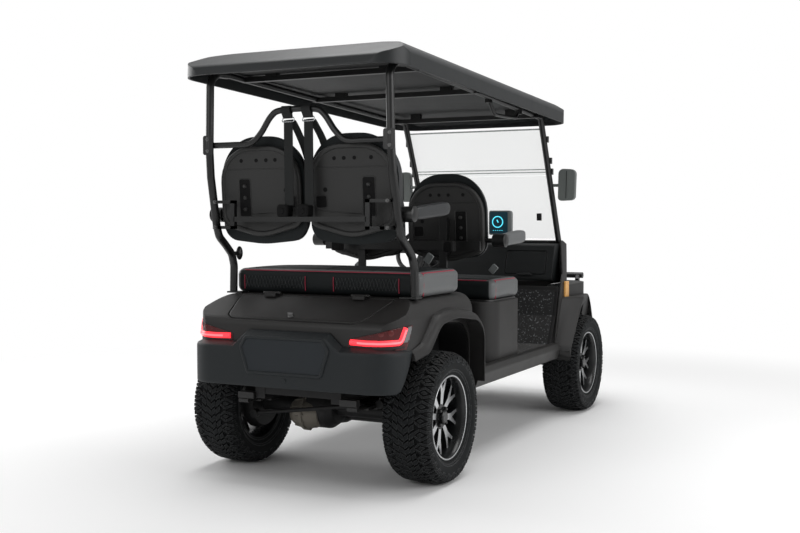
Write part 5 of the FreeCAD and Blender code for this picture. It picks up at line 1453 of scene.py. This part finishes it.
boxes = Build()
for y in (0.080, -0.024):
    belt_box(boxes, y, 1.178 + 0.029, 1.203, ((-1.345, 0.029), (-1.385, 0.029), (-1.392, 0.024)))
    boxes.turned([(0.0, 0.013), (0.004, 0.012)], (-1.392, y, 1.203), REARWARD, steps=20)
for y in (0.320, -0.320):
    belt_box(boxes, y, 1.033, 1.033, ((-0.462, 0.028), (-0.498, 0.028), (-0.504, 0.022)))
boxes.piece("belt_boxes", LINER, "liner_plastic", node="belt_retractors")

# %% [markdown]
# Armrests are padded bars on a dark pivot block. The vinyl is drawn tight, so the section is a soft
# square that swells to the middle and narrows at the tip.

# %% Armrests
ARM_STEPS = 14
ARM_SIDES = 24
PIVOT_AHEAD = 0.030


def soft(value):
    # Turns the round section into a soft square
    return math.copysign(abs(value) ** 0.55, value)


def armrest(name, rear, tip, thick, middle, wide, material):
    # Rear and tip are (x, z)
    pad, pivot = Build(), Build()
    start = rear[0] + 0.045
    rings = []
    for k in range(ARM_STEPS + 1):
        share = k / ARM_STEPS
        x = start + (tip[0] - rear[0] - 0.045) * share
        z = rear[1] + (tip[1] - rear[1]) * share
        swell = (1 - (2 * share - 1) ** 8) ** 0.5 if 0 < share < 1 else 0.35
        high = thick / 2 * (0.25 + 0.75 * swell) * (0.86 + 0.14 * share)
        half = wide / 2 * (0.30 + 0.70 * swell)
        rings.append([Vector((x, middle + half * soft(math.cos(a)), z + high * soft(math.sin(a))))
                      for a in round_angles(ARM_SIDES)])
    pad.lofted(rings)
    pad.piece(name, material, "seat_vinyl", node="armrests")
    side = 1 if middle > 0 else -1
    inner = middle - side * (wide / 2 + 0.004)
    pivot.turned([(0.0, 0.030), (0.004, 0.034), (wide + 0.004, 0.034), (wide + 0.008, 0.028)],
                 (rear[0] + PIVOT_AHEAD, inner, rear[1]), (0, side, 0), steps=26)
    pivot.bar([(rear[0] + PIVOT_AHEAD, side * 0.440, rear[1]),
               (rear[0] + PIVOT_AHEAD, inner + side * 0.004, rear[1])], 0.012, sides=12)
    pivot.piece(name + "_pivot", TUBE, "tube_paint")


for side, hand in BOTH_SIDES:
    armrest("rear_armrest_" + hand, (-1.318, 1.188), (-0.889, 1.218), 0.064, side * 0.490, 0.058, VINYL_ARM)
    armrest("front_armrest_" + hand, (-0.340, 1.060), (0.010, 1.080), 0.070, side * 0.524, 0.062, VINYL)
print("armrests", 4)

# %% [markdown]
# Below each lamp the body closes with a narrow sill, laid over the foot of the lens. The bumper is
# one formed cover with a stepped top edge and round corners, lofted round the back of the cart.

# %% Lamp sill
SILL_TURNS = [-0.092 + 0.092 * i / 4 for i in range(4)] + [8.0 * i for i in range(11)]
SILL_HEIGHTS = (0.6085, 0.618, 0.628, 0.6365)
for side, hand in BOTH_SIDES:
    sill = lens_patch(side, [[(turn, z) for turn in SILL_TURNS] for z in SILL_HEIGHTS], 0.0012)
    sill.piece("lamp_sill_" + hand, BODY, "body_shell")

# %% [markdown]
# The cover is one loft from the right wheel, round the back, to the left wheel. Each station is the
# same closed section, fitted to the height that the bumper has there.

# %% Bumper cover
BUMPER_HALF = 0.526
BUMPER_CORNER = 0.140
BUMPER_SKIN = 0.008


def bumper_path(inset, steps=9):
    # Round the back from the right end to the left end, as (x, y)
    back, half, corner = BUMPER_BACK + inset, BUMPER_HALF - inset, BUMPER_CORNER - inset
    path = [(-1.318, -half), (-1.360, -half)]
    for k in range(steps + 1):
        angle = math.pi / 2 * k / steps
        path.append((back + corner - corner * math.sin(angle), -half + corner - corner * math.cos(angle)))
    path += [(back, y) for y in (-0.330, -0.300, -0.268, -0.236, -0.205, -0.120, 0.0)]
    return path + [(x, -y) for x, y in path[-2::-1]]


def bumper_station(outer, inner):
    # The top edge steps up over the plate recess, and the lower edge rises toward the wheels
    top = 0.608 + 0.054 * min(1.0, max(0.0, (0.268 - abs(outer.y)) / 0.063))
    low = 0.440 + 1.56 * max(0.0, outer.x + 1.421)
    inward = inner - outer
    return [Vector((*(outer + inward * share), z)) for share, z in (
        (0.0, low + 0.004), (0.0, low + 0.012), (0.0, top - 0.012), (0.0, top - 0.004), (0.5, top + 0.004),
        (5.2, top + 0.024), (5.2, top + 0.004), (1.0, low), (0.3, low))]


cover = Build()
cover.lofted([bumper_station(Vector(outer), Vector(inner))
              for outer, inner in zip(bumper_path(0.0), bumper_path(BUMPER_SKIN))])
cover.piece("bumper_cover", BUMPER, "bumper_plastic", node="rear_bumper")
print("bumper", len(cover.points))

# %% [markdown]
# The screen at the dash shows a plain ring and a row of dashes. Its case is light grey, and it
# stands on a short round stalk.

# %% Dash screen
CYAN = glow("screen_cyan", (0.10, 0.75, 0.95), 1.0)
SCREEN_BLUE = glow("screen_blue", (0.004, 0.028, 0.042), 0.35)
CASE_GREY = finish("case_grey", (0.20, 0.215, 0.215), 0.45, specular=0.4, grain=0.3, edge=0.004)
DIAL_CENTRE = Vector((0.7725, -0.086, 1.152))
DIAL_RADIUS = 0.033


def on_dial(y, z):
    return DIAL_CENTRE + Vector((0, y, z))


case, face, dial = Build(), Build(), Build()
outline = rounded_loop([(-0.172, 1.072, 0.012), (-0.028, 1.072, 0.012), (-0.028, 1.221, 0.014),
                        (-0.172, 1.221, 0.018)], 5)
case.slab(outline, 0.030, lambda a, b, d: Vector((0.776 + d, a, b)))
case.bar([(0.795, -0.100, 1.075), (0.800, -0.100, 1.015)], 0.012, sides=14)
case.piece("screen_case", CASE_GREY, "screen_gloss", node="display")
outline = rounded_box((-0.150, 1.080), (-0.034, 1.214), 0.008, 4)
face.slab(outline, 0.004, lambda a, b, d: Vector((0.773 + d, a, b)))
face.piece("screen_face", SCREEN_BLUE, "screen_gloss")
ring = [on_dial(math.cos(a) * DIAL_RADIUS, math.sin(a) * DIAL_RADIUS) for a in round_angles(40)]
dial.bar(ring, 0.0030, sides=8, closed=True)
dial.bar([on_dial(0.004, 0.012), on_dial(-0.004, -0.004)], 0.0035, sides=8)
for k in range(5):
    dial.bar([on_dial(0.03 - 0.014 * k, -0.052), on_dial(0.024 - 0.014 * k, -0.052)], 0.0015)
dial.piece("screen_ring", CYAN, "screen_gloss")

# %% [markdown]
# A clear screen is seen mostly by its edges, so its fold line and its top edge are thin pale bars.
# Clips hold it to the pillars, and an amber marker sits on each front fender.

# %% Windscreen details and markers
GLASS_LOW, GLASS_HIGH = box_of("windscreen")
GLASS_EDGE_Y = 0.430
FOLD_HEIGHTS = (1.446, 1.462)
CLIP_PLACES = [(side * y, z) for side in (-1, 1) for y, z in ((0.444, 1.631), (0.446, 1.510), (0.444, 1.448))]


def on_glass(y, z, lift=0.0):
    # The screen leans back in a straight line from its foot to its top
    share = (z - GLASS_LOW.z) / (GLASS_HIGH.z - GLASS_LOW.z)
    return Vector((GLASS_HIGH.x - 0.006 + (GLASS_LOW.x + 0.006 - GLASS_HIGH.x) * share - lift, y, z))


edges, clips, markers = Build(), Build(), Build()
for z in FOLD_HEIGHTS:
    edges.bar([on_glass(-GLASS_EDGE_Y, z), on_glass(GLASS_EDGE_Y, z)], 0.0032, sides=8)
edges.bar([on_glass(-GLASS_EDGE_Y, 1.690), on_glass(GLASS_EDGE_Y, 1.690)], 0.0045, sides=8)
edges.piece("glass_edges", GLASS_EDGE, "tinted_screen")
for y, z in CLIP_PLACES:
    spot = on_glass(y, z, 0.010)
    clips.block(spot - Vector((0.010, 0.014, 0.018)), spot + Vector((0.012, 0.014, 0.018)))
tag, tag_half = on_glass(-0.329, 1.182, 0.004), Vector((0.006, 0.014, 0.022))
clips.block(tag - tag_half, tag + tag_half)
clips.piece("glass_clips", TUBE, "tube_paint")
for side in (-1, 1):
    outline = rounded_box((0.7660, 0.700), (0.8300, 0.800), 0.006, 4)
    markers.slab(outline, 0.010, lambda a, b, d: Vector((a, side * (0.512 + d), b)))
markers.piece("amber_markers", AMBER_LENS, "clear_lens")
print("clips", len(CLIP_PLACES))

# %% [markdown]
# A dark brake drum closes the inner side of each rear wheel. A drum is round, so its section is
# turned about the axle and left open in the middle, where the axle passes.

# %% Rear drums
DRUM_SECTION = [(-0.030, 0.040), (-0.026, 0.112), (0.0, 0.124), (0.026, 0.124), (0.030, 0.110),
                (0.030, 0.040)]
drums = Build()
for side in (1, -1):
    hub = (REAR_WHEEL_X, side * 0.408, WHEEL_RADIUS)
    drums.turned(DRUM_SECTION, hub, (0, side, 0), steps=48, closed=True)
drums.piece("rear_drums", CHASSIS, "frame_steel")

# %% [markdown]
# Crimson seams cross the dark rear face of the rear cushion, and a pale zigzag is stitched between
# them. Upright buckle plates stand 12 to 20 mm over the seats, with no strap drawn to hold them,
# and the front ones tilt with the front seat.

# %% Seat stitching and buckles
SEAM_PLACES = (0.432, 0.096, -0.053, -0.383)
STITCHED_SPANS = ((0.106, 0.422), (-0.373, -0.063))
ZIGZAG_STEPS = 18
REAR_PLATES = (((-0.76, -0.335, 0.982), 0.6),)
FRONT_PLATES = (((-0.10, -0.403, 0.906), 0.7), ((-0.10, 0.403, 0.906), -0.7))


def zigzag(form, x, span, start, end):
    form.bar([(x, span[0] + (span[1] - span[0]) * k / ZIGZAG_STEPS, end if k % 2 else start)
              for k in range(ZIGZAG_STEPS + 1)], 0.0011, sides=5)


def belt_plates(name, places, body):
    form = Build()
    outline = rounded_box((-0.017, -0.023), (0.017, 0.023), 0.005, 3)
    for place, tilt in places:
        turn = Matrix.Rotation(tilt, 3, "X")
        form.slab(outline, 0.012, lambda a, b, d: Vector(place) + turn @ Vector((d, a, b)))
    form.piece(name, CASE_GREY, "trim_metal", body=body)


seams, thread = Build(), Build()
low, high = box_of("rear_cushion")
for y in SEAM_PLACES:
    swell = 0.003 + 0.006 * (1 - (y / 0.482) ** 2)
    seams.bar([(low.x - swell * 0.55, y, low.z + 0.018), (low.x - swell, y, low.z + 0.055),
               (low.x - swell * 0.8, y, high.z - 0.036)], 0.0024, sides=6)
for span in STITCHED_SPANS:
    heights = low.z + 0.028, high.z - 0.040
    zigzag(thread, low.x - 0.0082, span, heights[0], heights[1])
    zigzag(thread, low.x - 0.0082, span, heights[1], heights[0])
seams.piece("rear_seams", PIPING, "seat_vinyl")
thread.piece("rear_thread", STITCH, "seat_vinyl")
belt_plates("rear_plates", REAR_PLATES, "chassis")
belt_plates("front_plates", FRONT_PLATES, "front_seat")
print("seams", len(SEAM_PLACES))

# %% [markdown]
# The bonnet is cut from simple forms, as a modeller would do it: a side view, a plan and a front view
# meet in one solid, which is then hollowed and cut by the wheel arches, the lamps and the footwell.

# %% Solids and cuts
def along_x(a, b, d):
    return Vector((d, a, b))


def along_y(a, b, d):
    return Vector((a, d, b))


def along_z(a, b, d):
    return Vector((a, b, d))


def solid_of(outline, start, end, to_space):
    form = Build()
    form.slab(outline, 1.0, lambda a, b, d: to_space(a, b, start + (end - start) * d))
    return place_object("cutter", closed_mesh("cutter", form.points, form.faces))


def combined(first, second, operation):
    # Both things are used up; the result takes the place of the first
    step = first.modifiers.new("cut", "BOOLEAN")
    step.operation = operation
    step.object = second
    step.solver = "EXACT"
    graph = bpy.context.evaluated_depsgraph_get()
    graph.update()
    mesh = bpy.data.meshes.new_from_object(first.evaluated_get(graph))
    first.modifiers.clear()
    old = first.data
    first.data = mesh
    bpy.data.meshes.remove(old)
    used = second.data
    bpy.data.objects.remove(second)
    bpy.data.meshes.remove(used)
    return first


# %% [markdown]
# Two such solids, one a skin's thickness inside the other, leave a hollow bonnet. Openings are cut
# last, so that they pass through the skin wherever it lies.

# %% Bonnet
BONNET_SKIN = 0.008
ARCH_OUTLINE = [(0.631, 0.20, 0), (0.631, 0.402, 0.150), (0.865, 0.676, 0.190), (1.185, 0.676, 0.190),
                (1.399, 0.402, 0.150), (1.399, 0.20, 0)]
LAMP_OUTLINE = [(0.215, 0.667, 0.024), (0.215, 0.743, 0.024), (0.393, 0.773, 0.030),
                (0.401, 0.689, 0.040)]
FOOTWELL = [(0.56, 0.43), (0.616, 0.43), (0.658, 0.600), (0.712, 0.770), (0.744, 0.780), (0.875, 1.028),
            (0.875, 1.10), (0.56, 1.10)]


def bonnet_solid(inset):
    low = 0.452 - inset
    top = 1.040 - inset
    nose = 1.450 - inset
    half = 0.512 - inset
    side_view = [
        (0.604 - inset, low, 0), (0.650 - inset, 0.600, 0.080), (0.704 - inset, 0.770, 0.200),
        (0.885 - inset, top, 0), (0.915, top, 0.014), (1.190 - inset, 0.928 - inset, 0.500),
        (1.420 - inset, 0.690 - inset, 0.110), (1.432 - inset, 0.520, 0.060), (1.400 - inset, low, 0)]
    plan = [
        (0.560, -half, 0), (1.210 - inset, -half, 0.260), (nose, -0.330 + inset, 0.150),
        (nose, 0.330 - inset, 0.150), (1.210 - inset, half, 0.260), (0.560, half, 0)]
    front_view = [
        (-half, low - 0.002, 0), (half, low - 0.002, 0), (half, 0.790, 0.160),
        (half - 0.062, 1.061 - inset, 0.040), (-half + 0.062, 1.061 - inset, 0.040), (-half, 0.790, 0.160)]
    solid = solid_of(rounded_loop(side_view, 8), -0.60, 0.60, along_y)
    solid = combined(solid, solid_of(rounded_loop(plan, 8), 0.40, 1.10, along_z), "INTERSECT")
    solid = combined(solid, solid_of(rounded_loop(front_view, 6), 0.50, 1.50, along_x), "INTERSECT")
    for s in (-1, 1):
        edge = [(0.800, s * (half + 0.001)), (1.500, s * (half - 0.217)), (1.500, s * 0.700),
                (0.800, s * 0.700)]
        solid = combined(solid, solid_of(edge, 0.776 - inset, 1.200, along_z), "DIFFERENCE")
    return solid


bonnet = combined(bonnet_solid(0.0), bonnet_solid(BONNET_SKIN), "DIFFERENCE")
bonnet = combined(bonnet, solid_of(FOOTWELL, -0.500, 0.500, along_y), "DIFFERENCE")
for s in (-1, 1):
    lamp_hole = [(s * a, b) for a, b in rounded_loop(LAMP_OUTLINE, 5)]
    arch_hole = rounded_loop(ARCH_OUTLINE, 7)
    bonnet = combined(bonnet, solid_of(arch_hole, s * 0.236, s * 0.700, along_y), "DIFFERENCE")
    bonnet = combined(bonnet, solid_of(lamp_hole, 1.18, 1.50, along_x), "DIFFERENCE")
points = [v.co.copy() for v in bonnet.data.vertices]
faces = [tuple(p.vertices) for p in bonnet.data.polygons]
bpy.data.objects.remove(bonnet)
make_piece("bonnet", points, faces, BODY, "body_shell", node="front_cowl")
print("bonnet", len(points))

# %% [markdown]
# Under the tail only the gear case is bare metal. It sits on the left of the axle's middle, with
# ribs round it and a flange of bolts. A long dark bar crosses behind the axle.

# %% Gear case
GEAR_CENTRE = Vector((-1.108, 0.120, 0.268))
GEAR_SECTION = [
    (-0.082, 0.040), (-0.076, 0.056), (-0.050, 0.070), (-0.012, 0.076), (-0.010, 0.084), (0.004, 0.084),
    (0.006, 0.076), (0.045, 0.068), (0.070, 0.052), (0.078, 0.038)]
ROD_LINE = [(-1.215, 0.345, 0.262), (-1.215, 0.330, 0.264), (-1.215, -0.300, 0.352),
            (-1.215, -0.318, 0.354)]
gears, rod = Build(), Build()
gears.turned(GEAR_SECTION, GEAR_CENTRE, ALONG_Y, steps=40)
for angle in round_angles(12):
    out = Vector((math.cos(angle), 0, math.sin(angle)))
    rib = [GEAR_CENTRE + out * 0.067 + ALONG_Y * 0.050, GEAR_CENTRE + out * 0.075 + ALONG_Y * 0.006]
    gears.bar(rib, 0.0034, sides=6)
    hex_bolt(gears, GEAR_CENTRE + out * 0.0805 - ALONG_Y * 0.011, -ALONG_Y, 0.0045, 0.005)
plug = GEAR_CENTRE + Vector((-0.060, 0.02, 0.01))
gears.turned([(0.0, 0.020), (0.020, 0.019), (0.024, 0.014)], plug, REARWARD, steps=20)
gears.piece("gear_case", CASTING, "axle_casting")
rod.bar(ROD_LINE, 0.009, sides=12)
for place in (ROD_LINE[0], ROD_LINE[-1]):
    rod.turned([(-0.016, 0.020), (0.016, 0.020)], place, (1, 0, 0), steps=20)
rod.piece("cross_rod", CHASSIS, "frame_steel")

# %% [markdown]
# Small things at hand: a grab handle under the right roof rail, a padded lever on the left strut,
# and the split line of each mirror.

# %% Handles
LEVER_END = Vector((-1.147, 0.475, 1.007))
HANDLE = [(-0.255, -0.440, 1.769), (-0.190, -0.440, 1.716), (-0.144, -0.440, 1.707),
          (0.105, -0.440, 1.713), (0.135, -0.440, 1.722), (0.166, -0.440, 1.745)]
handles, lines = Build(), Build()
handles.bar(curve_through(HANDLE, 5), 0.009, sides=12)
for x, z in ((-0.262, 1.770), (0.172, 1.750)):
    handles.block((x - 0.022, -0.452, z - 0.012), (x + 0.022, -0.430, z + 0.014))
handles.bar([(-1.214, 0.470, 1.004), (-1.180, 0.474, 1.006), (-1.150, 0.475, 1.006)], 0.010, sides=12)
rings = []
for k in range(9):
    angle = math.pi * k / 8
    wide, deep, up = 0.020 * math.sin(angle), 0.014 * math.sin(angle), -0.033 * math.cos(angle)
    rings.append([LEVER_END + Vector((wide * math.cos(a), deep * math.sin(a), up)) for a in round_angles(16)])
handles.lofted(rings)
handles.piece("handles", TUBE, "tube_paint")
for side in (-1, 1):
    lines.bar([(0.7272, side * 0.532, 1.290), (0.7272, side * 0.536, 1.452)], 0.0016, sides=6)
lines.piece("mirror_lines", LINER, "mirror_housing")
